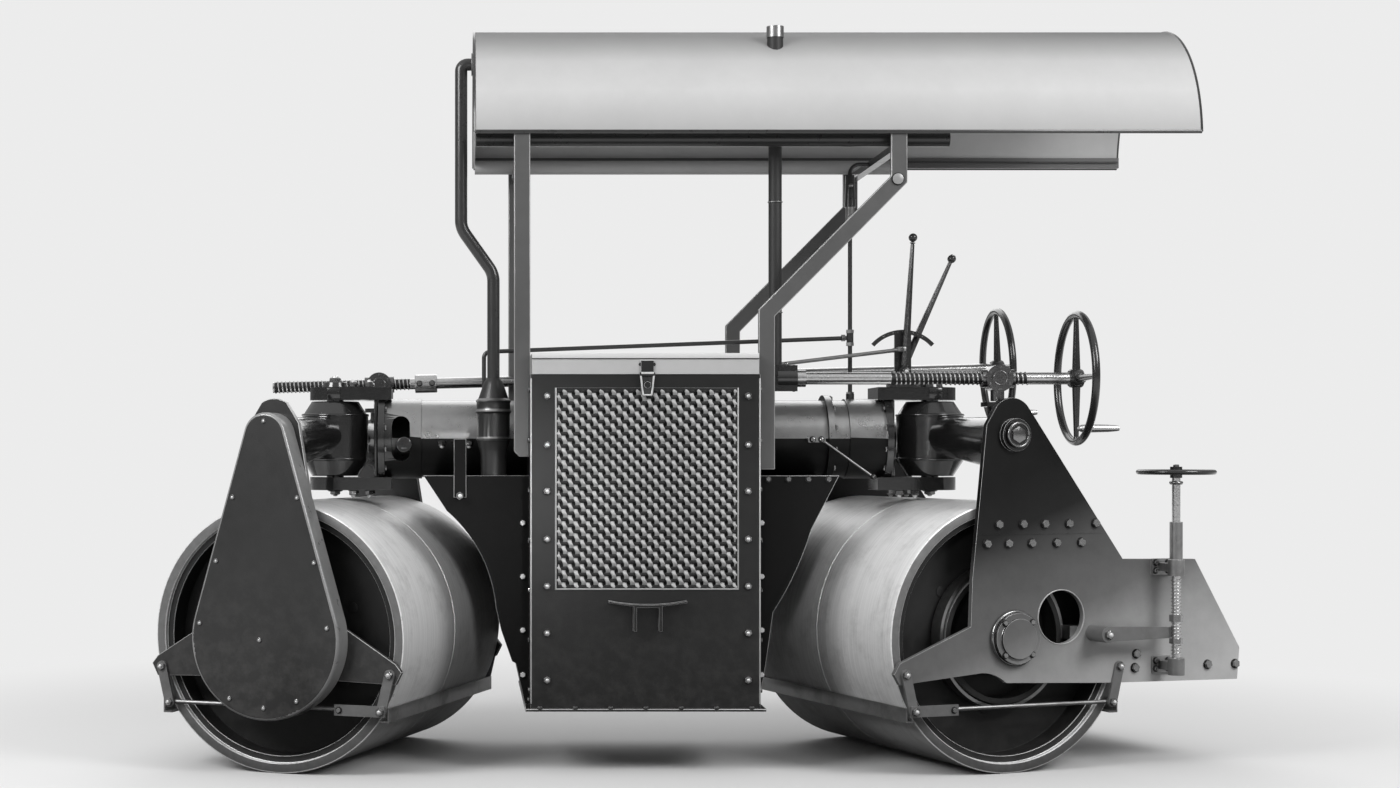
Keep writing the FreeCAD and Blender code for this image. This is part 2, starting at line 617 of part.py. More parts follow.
def chain_case(label, frame, side):
    """A pear-shaped case round the chain from the cross neck to the axle, rounded at its outer edge."""
    lean = "asin((case_low_r - case_high_r) / (neck_z - roll_r))"
    corners = [
        ("0", "roll_r - case_low_r", "case_low_r"),
        (f"case_low_r * cos({lean})", f"roll_r + case_low_r * sin({lean})"),
        (f"case_high_r * cos({lean})", f"neck_z + case_high_r * sin({lean})", "case_high_r"),
        (f"-case_high_r * cos({lean})", f"neck_z + case_high_r * sin({lean})"),
        (f"-case_low_r * cos({lean})", f"roll_r + case_low_r * sin({lean})", "case_low_r"),
    ]
    sign = SIDES[side]
    inner = f"{sign} * (cheek_in + cheek_thick)"
    outer = f"{sign} * (cheek_in + cheek_thick + case_deep)"
    low, high = (outer, inner) if side == "near" else (inner, outer)
    body = plate(label + "_body", "XZ", low, high, corners)
    doc.recompute()
    face = worth(outer)
    rims = [i for i, edge in enumerate(body.Shape.Edges, start=1)
            if all(abs(v.Point.y - face) < 0.01 for v in edge.Vertexes)]
    bevel = doc.addObject("Part::Fillet", label + "_round")
    bevel.Base = body
    bevel.Edges = [(i, worth("case_round"), worth("case_round")) for i in rims]
    node(bevel, label, frame)


node(side_plate("yoke_plate_left_near", LEFT, "near", PLAIN_PLATE), "yoke_plate_left_near", LEFT)
node(side_plate("yoke_plate_left_far", LEFT, "far", PLAIN_PLATE, ("boss",)), "yoke_plate_left_far", LEFT)
LONG_NEAR = side_plate("long_plate_near", RIGHT, "near", LONG_PLATE, ("boss", "hole"))
node(side_plate("yoke_plate_right_far", RIGHT, "far", LONG_PLATE), "yoke_plate_right_far", RIGHT)
chain_case("chain_case_left", LEFT, "near")
chain_case("chain_case_right", RIGHT, "far")

for label, frame in (("left", LEFT), ("right", RIGHT)):
    shaft = rod(f"shaft_{label}", "Y", "-cheek_in", "cheek_in", "axle_r", AXLE)
    node(group(f"axle_{label}", [shaft]), f"axle_{label}", frame)

# Scrapers: an angle iron along each side of each roll, hung by links from the side plates' arms,
# with a flat bar and a pull rod between the two lower pins.
PLATE_FACE = "(cheek_in + cheek_thick)"
LINK_FACE = f"({PLATE_FACE} + link_thick)"
for label, frame, inward in (("left", LEFT, "1"), ("right", RIGHT, "-1")):
    outward = "-1" if inward == "1" else "1"
    pieces = []
    for place, up in (("in", inward), ("out", outward)):
        name = f"scraper_{label}_{place}"
        near_leg, back_leg = "foot_x + 26", "foot_x + 26 + blade_thick"
        upright = [f"{up} * ({near_leg})", f"{up} * ({back_leg})"]
        toe = [f"{up} * ({back_leg} - blade_toe)", f"{up} * ({back_leg})"]
        if up == "-1":
            upright, toe = upright[::-1], toe[::-1]
        long = (f"-{PLATE_FACE}", PLATE_FACE)
        pieces.append(box(name + "_upright", upright, long, ("foot_z - 44", "foot_z - 42 + blade_leg")))
        pieces.append(box(name + "_toe", toe, long, ("foot_z - 42 - blade_thick", "foot_z - 42")))
        for side, sign in SIDES.items():
            low, high = f"{sign} * {PLATE_FACE}", f"{sign} * {LINK_FACE}"
            pivot, foot = (low, f"{sign} * ({LINK_FACE} + 9)"), (f"{sign} * (cheek_in + 2)", high)
            if side == "near":
                low, high, pivot, foot = high, low, pivot[::-1], foot[::-1]
            pieces.append(plate(f"{name}_link_{side}", "XZ", low, high, [
                (f"{up} * foot_x - link_w / 2", "foot_z"),
                (f"{up} * foot_x + link_w / 2", "foot_z"),
                (f"{up} * pivot_x + link_w / 2", "pivot_z"),
                (f"{up} * pivot_x - link_w / 2", "pivot_z"),
            ]))
            for end, pin in (("foot", foot), ("pivot", pivot)):
                spot = (f"{up} * {end}_x", f"{end}_z")
                pieces.append(rod(f"{name}_{end}_{side}", "Y", low, high, "link_w / 2", spot))
                pieces.append(rod(f"{name}_{end}_pin_{side}", "Y", *pin, "13", spot))
    for side, sign in SIDES.items():
        low, high = f"{sign} * {LINK_FACE}", f"{sign} * ({LINK_FACE} + 10)"
        if side == "near":
            low, high = high, low
        bar = [f"{inward} * (foot_x - 215)", f"{inward} * (foot_x + 20)"]
        if inward == "-1":
            bar = bar[::-1]
        pieces.append(box(f"scraper_tie_{label}_{side}", bar, (low, high), ("foot_z - 24", "foot_z + 24")))
        pull_y = f"{sign} * (cheek_in + cheek_thick / 2)"
        pieces.append(rod(f"pull_{label}_{side}", "X", "-foot_x", "foot_x", "9", (pull_y, "foot_z")))
    node(join(f"scrapers_{label}", pieces), f"scrapers_{label}", frame)

# The brake: a band round the drum, anchored to the near plate, and the screw, lever and
# handwheel that pull it tight.
BRAKE_Y = "-(cheek_in + cheek_thick + brake_out)"
band = turned("band", "Y", AXLE, [
    ("web_in - roll_half - drum_wide + 12", "drum_r + gap"),
    ("web_in - roll_half - 12", "drum_r + gap"),
    ("web_in - roll_half - 12", "drum_r + gap + band_thick"),
    ("web_in - roll_half - drum_wide + 12", "drum_r + gap + band_thick"),
])
anchor = box("band_anchor", ("drum_r + gap + 4", "brake_shaft_x + 24"),
             ("-cheek_in", "web_in - roll_half - 12"), ("brake_shaft_z - 30", "brake_shaft_z + 30"))
node(join("brake_band", [band, anchor]), "brake_band", RIGHT)

FACE = "-(cheek_in + cheek_thick)"
lever_low, lever_high = f"{BRAKE_Y} + 14", f"{BRAKE_Y} + 30"
shaft_boss = rod("shaft_boss", "Y", f"{BRAKE_Y} - 8", FACE, "36", ("brake_shaft_x", "brake_shaft_z"))
arm = plate("lever_arm", "XZ", lever_low, lever_high, [
    ("brake_shaft_x", "brake_shaft_z - 34"),
    ("brake_x", "brake_shaft_z - 26"),
    ("brake_x", "brake_shaft_z + 22"),
    ("brake_shaft_x", "brake_shaft_z + 34"),
])
shaft_slot = rod("lever_slot", "Z", "brake_shaft_z - 60", "brake_shaft_z + 60", "28", ("brake_x", BRAKE_Y))
node(cut("brake_lever", join("lever_solid", [shaft_boss, arm]), [shaft_slot]), "brake_lever", RIGHT)

brackets = []
for name, low, high in (("low", "deck_z - 11", "deck_z + 65"), ("high", "deck_z + 432", "deck_z + 505")):
    brackets.append(box(f"bracket_{name}_foot", ("brake_x - 48", "brake_x + 48"), (f"{FACE} - 12", FACE), (low, high)))
    brackets.append(box(f"bracket_{name}_arm", ("brake_x - 20", "brake_x + 20"), (BRAKE_Y, FACE), (f"{low} + 18", f"{high} - 18")))
    brackets.append(rod(f"bracket_{name}_eye", "Z", low, high, "36", ("brake_x", BRAKE_Y)))
sleeve = rod("brake_sleeve", "Z", "deck_z + 498", "deck_z + 673", "28", ("brake_x", BRAKE_Y))
low_half = join("brackets_low", brackets[:3])
high_half = join("brackets_high", brackets[3:] + [sleeve])
pair = [cut(f"bracket_{i}", half, [rod(f"eye_{i}", "Z", "deck_z - 32", "deck_z + 678", "18 + fit", ("brake_x", BRAKE_Y))])
        for i, half in enumerate((low_half, high_half))]
node(join("yoke_plate_right_near", [LONG_NEAR] + pair), "yoke_plate_right_near", RIGHT)


def handwheel(name, axis, at, radius, rim, hub_r, hub, spokes, first=0.0):
    """The rim, spokes and hub of a handwheel; hub is its bounds along the axis."""
    pieces = [ring(name + "_rim", axis, at, radius, rim)]
    others = [a for i, a in enumerate(at) if "XYZ"[i] != axis]
    pieces.append(rod(name + "_hub", axis, hub[0], hub[1], hub_r, others))
    for k in range(spokes):
        spoke = doc.addObject("Part::Cylinder", f"{name}_spoke_{k}")
        turn = first + 360.0 * k / spokes
        spoke.Placement.Rotation = FreeCAD.Rotation(AXES[axis], turn).multiply(TURNS["Y" if axis == "Z" else "Z"])
        bind(spoke, Radius=f"{rim} * 0.55", Height=radius)
        put(spoke, *at)
        pieces.append(spoke)
    return pieces


stem = rod("brake_stem", "Z", "deck_z - 11", "brake_wheel_z + 20", "18", ("brake_x", BRAKE_Y))
wheel = handwheel("brake_wheel", "Z", ("brake_x", BRAKE_Y, "brake_wheel_z"), "brake_wheel_r - 11", "11", "26",
                  ("brake_wheel_z - 26", "brake_wheel_z + 24"), 3)
node(join("brake_screw", [stem] + wheel), "brake_screw", RIGHT)

# The operator's deck lies between the long side plates, on an angle iron along each.
deck = [box("deck_floor", ("deck_x", "deck_end_x"), ("-cheek_in", "cheek_in"), ("deck_z", "deck_z + deck_thick"))]
for side, sign in SIDES.items():
    edge, inner = f"{sign} * cheek_in", f"{sign} * (cheek_in - 8)"
    low, high = (edge, inner) if side == "near" else (inner, edge)
    deck.append(box(f"deck_angle_{side}", ("deck_x", "deck_end_x"), (low, high), ("deck_z", "deck_z + 58")))
for k, x in enumerate(("deck_x", "deck_end_x - 8")):
    deck.append(box(f"deck_lip_{k}", (x, f"{x} + 8"), ("-cheek_in", "cheek_in"), ("deck_z - 30", "deck_z + deck_thick")))
node(join("deck", deck), "deck", RIGHT)

# The engine housing: four sheet walls with an opening for the grille on the near side and
# round holes for the backbone, standing on a floor plate.
WALLS_X = ("-house_left", "house_right")
WALLS_Y = ("-house_near", "house_far")
outer = box("house_outer", WALLS_X, WALLS_Y, ("house_low", "house_high"))
hollow = box("house_hollow", ("sheet - house_left", "house_right - sheet"), ("sheet - house_near", "house_far - sheet"),
             ("house_low - 10", "house_high + 10"))
opening = box("grille_opening", ("-grille_left", "grille_right"), ("-house_near - 10", "sheet - house_near + 10"),
              ("grille_low", "grille_high"))
passage = rod("tube_hole", "X", "-house_left - 10", "house_right + 10", "tube_r + fit", ("0", "tube_z"))
walls = cut("walls", outer, [hollow, opening, passage])

floor = box("floor", ("-house_left - ledge", "house_right + ledge"), ("-house_near - ledge", "house_far + ledge / 2"),
            ("house_low - floor_thick", "house_low"))
bearers = [box(f"bearer_{k}", ("-330", "330"), (f"{y} - 40", f"{y} + 40"), ("house_low - 2", "house_low + 60"))
           for k, y in enumerate(("-300", "200"))]
node(join("housing_floor", [floor] + bearers), "housing_floor")
engine = box("engine", ("-300", "300"), ("190 - house_near", "house_far - 80"), ("house_low + 60", "tube_z - tube_r - 70"))
node(group("engine_block", [engine]), "engine_block")
radiator = ("sheet - house_near + 24", "sheet - house_near + 114")
core = box("radiator_core", ("-grille_left - 20", "grille_right + 20"), radiator,
           ("house_low + fit", "grille_high + 20"))
node(group("radiator", [core]), "radiator")

# The grille: a frame round the opening, upright wires behind level ones.
rim_y = ("-house_near - 4", "sheet - house_near + 14")
rim = cut("grille_rim_ring", box("rim_outer", ("-grille_left", "grille_right"), rim_y, ("grille_low", "grille_high")),
          [box("rim_inner", ("grille_rim - grille_left", "grille_right - grille_rim"), ("-house_near - 9", "30 - house_near"),
               ("grille_low + grille_rim", "grille_high - grille_rim"))])
COLUMNS, ROWS = 16, 18
wires = [rim]
for k in range(1, COLUMNS):
    x = f"(-grille_left + (grille_left + grille_right) * {k} / {COLUMNS})"
    wires.append(box(f"upright_{k}", (f"{x} - wire / 2", f"{x} + wire / 2"), ("4.2 - house_near", "4 + wire - house_near"),
                     ("grille_low + 4", "grille_high - 4")))
for k in range(1, ROWS):
    z = f"(grille_low + (grille_high - grille_low) * {k} / {ROWS})"
    wires.append(box(f"level_{k}", ("4 - grille_left", "grille_right - 4"), ("4 - wire - house_near", "4 - house_near"),
                     (f"{z} - wire / 2", f"{z} + wire / 2")))
node(join("grille", wires), "grille")

# A hood on the near wall shelters the hole for the starting handle.
hood = plate("hood_profile", "XZ", "-house_near - 46", "-house_near", [
    ("-37", "632"),
    ("-37", "736"),
    ("62", "736"),
    ("62", "632"),
    ("75", "632"),
    ("75", "742"),
    ("183", "756"),
    ("183", "764", "-900"),
    ("-158", "764"),
    ("-158", "756"),
    ("-50", "742"),
    ("-50", "632"),
])

# The lid is in two halves that turn on one rod over the middle of the housing. Knuckles along the
# rod belong to the near half, the far half and the three brackets in turn.
HINGE_Z = "house_high + lid_high + hinge_up"
HINGE = ("0", HINGE_Z)
MID_X = "(house_right - house_left) / 2"
spine = [
    box("spine_rail", ("-house_left + sheet", "house_right - sheet"), ("-12", "12"), ("house_high - 40", "house_high - 4")),
    box("spine_rib", ("gap + 2 * sheet - house_left + 4", "house_right - gap - 2 * sheet - 4"), ("-4", "4"),
        ("house_high - 4", "house_high + lid_high - 3 * sheet")),
    rod("hinge_rod", "X", f"{MID_X} - 440", f"{MID_X} + 440", "hinge_r", HINGE),
]
for k, place in enumerate(("-420", "0", "420")):
    ends = (f"{MID_X} + ({place}) - 18", f"{MID_X} + ({place}) + 18")
    spine.append(box(f"hinge_bracket_{k}", ends, ("-4", "4"), ("house_high + lid_high - 4 * sheet", HINGE_Z)))
    spine.append(rod(f"hinge_bracket_eye_{k}", "X", *ends, "hinge_r + 4", HINGE))
node(join("housing", [walls, hood] + spine), "engine_housing")
hasp = [
    box("hasp_plate", ("-16", "40"), ("-house_near - 13", "-house_near - 5"), ("house_high - 92", "house_high + 60")),
    rod("hasp_knob", "Y", "-house_near - 27", "-house_near - 12", "15", ("12", "house_high - 48")),
]
for side, sign in SIDES.items():
    wall = "house_near" if side == "near" else "house_far"
    reach = (f"-({wall}) - 5", "-lid_edge") if side == "near" else ("lid_edge", f"{wall} + 5")
    inner = (f"sheet - 5 - ({wall})", "20") if side == "near" else ("-20", f"{wall} + 5 - sheet")
    shell = box(f"lid_{side}_outer", ("gap - house_left", "house_right - gap"), reach,
                ("house_high + fit", "house_high + lid_high"))
    room = box(f"lid_{side}_room", ("gap + sheet - house_left", "house_right - gap - sheet"), inner,
               ("house_high", "house_high + lid_high - sheet"))
    pieces = [cut(f"lid_{side}_tray", shell, [room])] + (hasp if side == "near" else [])
    bores = []
    for k, place in enumerate(("-290", "140") if side == "near" else ("-140", "290")):
        ends = (f"{MID_X} + ({place}) - 60", f"{MID_X} + ({place}) + 60")
        leaf = ("-lid_edge - 20", "0") if side == "near" else ("0", "lid_edge + 20")
        pieces.append(box(f"leaf_{side}_{k}", ends, leaf, (f"{HINGE_Z} - hinge_up", f"{HINGE_Z} + 2")))
        pieces.append(rod(f"knuckle_{side}_{k}", "X", *ends, "hinge_r + 4", HINGE))
        bores.append(rod(f"knuckle_bore_{side}_{k}", "X", f"{ends[0]} - 5", f"{ends[1]} + 5", "hinge_r + fit", HINGE))
    node(cut(f"lid_{side}_whole", join(f"lid_{side}_solid", pieces), bores), f"lid_{side}")

# The roof: a barrel of sheet with a closed left end and an eave rail along each side.
LONG = ("-roof_left", "roof_right")
arch = cut("arch", rod("arch_outer", "X", *LONG, "roof_r + roof_sheet", ("0", "roof_z")),
           [rod("arch_inner", "X", "roof_sheet - roof_left", "roof_right + 10", "roof_r", ("0", "roof_z")),
            box("below_eaves", ("-roof_left - 10", "roof_right + 10"), ("-700", "700"), ("roof_z - 700", "eave_z"))])
shell = [arch]
for side, sign in SIDES.items():
    edges = ("-roof_r - 1", "post_thick - post_out") if side == "near" else ("post_out - post_thick", "roof_r + 1")
    rail = box(f"eave_{side}_bar", LONG, edges, ("eave_z", "eave_z + eave_high"))
    inside = rod(f"eave_{side}_inside", "X", *LONG, "roof_r + roof_sheet / 2", ("0", "roof_z"))
    common = doc.addObject("Part::Common", f"eave_{side}")
    common.Base, common.Tool = rail, inside
    shell.append(common)
EXHAUST = ("exhaust_x", "exhaust_y")
exhaust_hole = rod("exhaust_hole", "Z", "roof_z", "roof_z + 700", "exhaust_r + sheet + fit", EXHAUST)
intake_hole = rod("intake_hole", "X", "-roof_left - 10", "20 - roof_left", "intake_r + fit", ("cleaner_y", "roof_z + 370"))
node(cut("roof", join("roof_solid", shell), [exhaust_hole, intake_hole]), "roof_shell")

rails = [rod(f"rail_{side}", "X", "roof_sheet - roof_left", "rail_right", "rail_r",
             (f"{sign} * rail_y", "roof_z + 20")) for side, sign in SIDES.items()]
TIE_TOP = "roof_z + 20 - rail_r"
inner_face = "post_out - post_thick"
ties = [box(f"tie_{k}", (f"{x} - 20", f"{x} + 20"), (f"-({inner_face})", inner_face), (f"{TIE_TOP} - 30", TIE_TOP))
        for k, x in enumerate(("-house_left - post_w / 2", "elbow_x"))]
node(join("roof_beams", rails + ties), "roof_beams")

FOOT_R = "post_w / 3"
posts = {"left": [], "right": []}
for side, sign in SIDES.items():
    low, high = f"{sign} * post_out", f"{sign} * (post_out - post_thick)"
    if side == "far":
        low, high = high, low
    post = plate(f"post_left_{side}", "XZ", low, high, [
        ("-house_left", "eave_z"),
        ("-house_left - post_w", "eave_z"),
        (f"-house_left - post_w", f"post_foot_z + {FOOT_R}"),
        (f"-house_left - post_w + {FOOT_R}", "post_foot_z"),
        ("-house_left", "post_foot_z"),
    ])
    posts["left"].append(post)
    lean = "atan((elbow_x - house_right - post_w / 2) / (elbow_z - knee_z))"
    step = f"post_w / 2 * tan(({lean}) / 2)"
    strut = plate(f"strut_{side}", "XZ", low, high, [
        ("house_right", "strut_foot_z"),
        ("house_right + post_w", "strut_foot_z"),
        ("house_right + post_w", f"knee_z - {step}"),
        ("elbow_x + post_w / 2", f"elbow_z - {step}"),
        ("elbow_x + post_w / 2", "eave_z"),
        ("elbow_x - post_w / 2", "eave_z"),
        ("elbow_x - post_w / 2", f"elbow_z + {step}"),
        ("house_right", f"knee_z + {step}"),
    ])
    posts["right"].append(strut)
for label, pair in posts.items():
    node(group(f"roof_posts_{label}", pair), f"roof_posts_{label}")


def pipe(name, radius, route, bends):
    """A round pipe along straight runs joined by arcs of the given bend radii."""
    spots = [FreeCAD.Vector(*[worth(c) for c in spot]) for spot in route]
    edges = []
    start = spots[0]
    for before, corner, after, bend in zip(spots, spots[1:], spots[2:], bends):
        back, ahead = (before - corner).normalize(), (after - corner).normalize()
        bend = worth(bend)
        half = back.getAngle(ahead) / 2
        trim = bend / math.tan(half)
        first, last = corner + back * trim, corner + ahead * trim
        centre = corner + (back + ahead).normalize() * (bend / math.sin(half))
        middle = centre + (corner - centre).normalize() * bend
        edges += [Part.makeLine(start, first), Part.Arc(first, middle, last).toShape()]
        start = last
    edges.append(Part.makeLine(start, spots[-1]))
    direction = (spots[1] - spots[0]).normalize()
    section = Part.Wire([Part.makeCircle(worth(radius), spots[0], direction)])
    piece = doc.addObject("Part::Feature", name)
    piece.Shape = Part.Wire(edges).makePipeShell([section], True, True)
    return piece


stack = pipe("exhaust_run", "exhaust_r", [
    ("house_right", "exhaust_y", "house_high - 60"),
    ("exhaust_x", "exhaust_y", "house_high - 60"),
    ("exhaust_x", "exhaust_y", "exhaust_top"),
], ["exhaust_bend"])
collar = rod("exhaust_collar", "Z", "exhaust_top - stub_high", "exhaust_top", "stub_r", EXHAUST)
sleeve = rod("exhaust_sleeve", "Z", "exhaust_top - 3 * stub_high", "exhaust_top - stub_high", "exhaust_r + sheet",
             EXHAUST)
root = rod("exhaust_root", "X", "house_right", "house_right + 14", "exhaust_r + 18", ("exhaust_y", "house_high - 60"))
outlet = rod("exhaust_outlet", "Z", "exhaust_top - 250", "exhaust_top + 10", "exhaust_r - sheet", EXHAUST)
node(cut("exhaust", join("exhaust_solid", [stack, collar, sleeve, root]), [outlet]), "exhaust_pipe")

CLEANER = ("cleaner_x", "cleaner_y")
cleaner = turned("cleaner", "Z", CLEANER, [
    ("tube_z - tube_r", "0"),
    ("tube_z - tube_r", "58"),
    ("tube_z - 85", "58"),
    ("tube_z - 55", "cleaner_r - 14"),
    ("tube_z - 10", "cleaner_r - 2"),
    ("tube_z - 2", "cleaner_r + 3"),
    ("tube_z + 6", "cleaner_r - 2"),
    ("tube_z + 110", "cleaner_r - 2"),
    ("tube_z + 120", "cleaner_r + 7"),
    ("tube_z + 132", "cleaner_r"),
    ("tube_z + 160", "cleaner_r"),
    ("tube_z + 170", "cleaner_r + 5"),
    ("tube_z + 180", "cleaner_r - 8"),
    ("tube_z + 255", "intake_r + 14"),
    ("tube_z + 272", "intake_r + 2"),
    ("tube_z + 272", "0"),
])
node(cleaner, "air_cleaner")
intake = pipe("intake", "intake_r", [
    ("cleaner_x", "cleaner_y", "tube_z + 272"),
    ("cleaner_x", "cleaner_y", "roof_z - 575"),
    ("-roof_left - 60", "cleaner_y", "roof_z - 370"),
    ("-roof_left - 60", "cleaner_y", "roof_z + 370"),
    ("-roof_left + roof_sheet + 6", "cleaner_y", "roof_z + 370"),
], ["intake_bend", "intake_bend", "30"])
node(intake, "intake_pipe")

# The feed pipe drops from a cock under the roof to the backbone and has a branch to the left.
TUBE_TOP = "tube_z + tube_r + fit"
SLEEVE_TOP = "tube_z + sleeve_r + fit"
TIE_Z = f"{TIE_TOP} - 15"
feed = pipe("feed_main", "feed_r", [
    ("feed_x", "0", SLEEVE_TOP),
    ("feed_x", "0", TIE_Z),
    ("elbow_x - 20", "0", TIE_Z),
], ["45"])
branch = pipe("feed_branch", "feed_r", [
    ("feed_x", "0", "house_high + 195"),
    ("-house_left - 199", "0", "house_high + 129"),
    ("-house_left - 199", "0", TUBE_TOP),
], ["30"])
FEED = ("feed_x", "0")
cock = [
    rod("cock_body", "Z", "roof_z - 320", "roof_z - 230", "21", FEED),
    rod("cock_plug", "Y", "-46", "30", "11", ("feed_x", "roof_z - 275")),
    box("cock_handle", ("feed_x - 8", "feed_x + 8"), ("-46", "-38"), ("roof_z - 360", "roof_z - 264")),
    rod("feed_tee", "Z", "house_high + 170", "house_high + 220", "16", FEED),
    rod("feed_seat", "Z", SLEEVE_TOP, f"{SLEEVE_TOP} + 24", "19", FEED),
    rod("branch_seat", "Z", TUBE_TOP, f"{TUBE_TOP} + 24", "19", ("-house_left - 199", "0")),
]
node(join("feed_pipe", [feed, branch] + cock), "feed_pipe")

# Hand levers on a stand over the right kingpin's jaw, and the rods that they pull.
LUG_TOP = "lug_high_z + lug_thick"
stand = [
    box("stand_foot", ("lever_x - 62", "lever_x + 62"), ("-116", "-30"), (LUG_TOP, f"{LUG_TOP} + 14")),
    box("stand_column", ("lever_x - 38", "lever_x + 38"), ("-108", "-92"), (LUG_TOP, "lever_z + 185")),
    rod("stand_shaft", "Y", "-170", "-30", "13", ("lever_x", "lever_z")),
]
quadrant = plate("quadrant", "XZ", "-106", "-94", [
    ("lever_x + 146", "lever_z + 132", "197"),
    ("lever_x - 146", "lever_z + 132"),
    ("lever_x - 132", "lever_z + 119", "-178"),
    ("lever_x + 132", "lever_z + 119"),
])
node(join("control_stand", stand + [quadrant]), "control_stand")

levers = []
for name, y, ball_x, ball_z in (("lever_upright", "-140", "lever_x + 39", "lever_z + 622"), ("lever_leaning", "-60", "lever_x + 238", "lever_z + 531")):
    turn = f"atan(({ball_x} - lever_x) / ({ball_z} - lever_z))"
    grip = cone(name + "_bar", "Z", "lever_z", "lever_z + 1", ("15", "7"), ("lever_x", y))
    bind(grip, Height=f"sqrt(({ball_x} - lever_x)^2 + ({ball_z} - lever_z)^2)")
    grip.Placement.Rotation = FreeCAD.Rotation(AXES["Y"], 1)
    bind(grip, Placement__Rotation__Angle=turn)
    boss = rod(name + "_boss", "Y", f"{y} - 16", f"{y} + 16", "26", ("lever_x", "lever_z"))
    knob = ball(name + "_knob", (ball_x, y, ball_z), "20")
    tail = box(name + "_tail", ("lever_x - 12", "lever_x + 12"), (f"{y} - 6", f"{y} + 6"), ("lever_z", "lever_z + 118"))
    bore = rod(name + "_bore", "Y", f"{y} - 20", f"{y} + 20", "13 + fit", ("lever_x", "lever_z"))
    levers.append(cut(name, join(name + "_solid", [grip, boss, knob, tail]), [bore]))
node(group("hand_levers", levers), "hand_levers")

rocker = [
    box("rocker_foot", ("house_right", "house_right + 10"), ("-168", "-32"), ("tube_z + tube_r + 12", "house_high - 8")),
    box("rocker_arm", ("house_right", "house_right + 60"), ("-108", "-92"), ("tube_z + tube_r + 12", "house_high - 8")),
    rod("rocker_shaft", "Y", "-170", "-30", "11", ("house_right + 46", "house_high - 40")),
]
for y in ("-146", "-54"):
    rocker.append(box("rocker_lever" + y.replace("-", "_"), ("house_right + 36", "house_right + 56"),
                      (f"{y} - 5", f"{y} + 5"), ("house_high - 50", "house_high + 62")))
links = []
for y in ("-146", "-54"):
    links.append(pipe("control_rod" + y.replace("-", "_"), "8", [
        ("house_right + 50", y, "house_high + 52"),
        ("lever_x - 14", y, "lever_z + 104"),
    ], []))
node(join("control_rods", rocker + links), "control_rods")

# A drain lever on the tube's near side.
handle = pipe("drain_rod", "5.5", [("mid_flange_x - 47", "-tube_r - 31", "tube_z - 10"), ("mid_flange_x + 184", "-tube_r - 40", "tube_z - 177")], [])
drain = join("drain", [
    box("drain_foot", ("mid_flange_x - 115", "mid_flange_x - 35"), ("-tube_r - 38", "6 - tube_r"), ("tube_z - 18", "tube_z + 8")),
    handle,
    ball("drain_knob", ("mid_flange_x + 184", "-tube_r - 40", "tube_z - 177"), "15"),
])
node(cut("drain_seated", drain, [rod("drain_room", "X", "mid_flange_x - 125", "mid_flange_x - 25", "tube_r + fit", ("0", "tube_z"))]), "drain_lever")

# Steering. Each screw turns in a bearing on a right roof post and draws its nut along,
# which swings the yoke. Each screw's frame has its origin at the nut as parked.
NEAR_X, NEAR_Y = "kingpin_x + arm_r * sin(yaw_right)", "-arm_r * cos(yaw_right)"
FAR_X, FAR_Y = "-kingpin_x - arm_r * sin(yaw_left)", "arm_r * cos(yaw_left)"
SCREWS = {
    # side: frame, machine X and Y of the frame, thread's ends and wheel on the machine
    "near": ((NEAR_X, NEAR_Y, "screw_z", "Y", "near_slope"), NEAR_X, NEAR_Y,
             "kingpin_x - 294", "kingpin_x + 311", "kingpin_x + 533"),
    "far": ((FAR_X, FAR_Y, "far_screw_z", "Y", "far_slope"), FAR_X, FAR_Y,
            "-kingpin_x - 342", "339 - kingpin_x", "kingpin_x + 457"),
}
BEARING = ("house_right + post_w + 16", "house_right + post_w + 104")
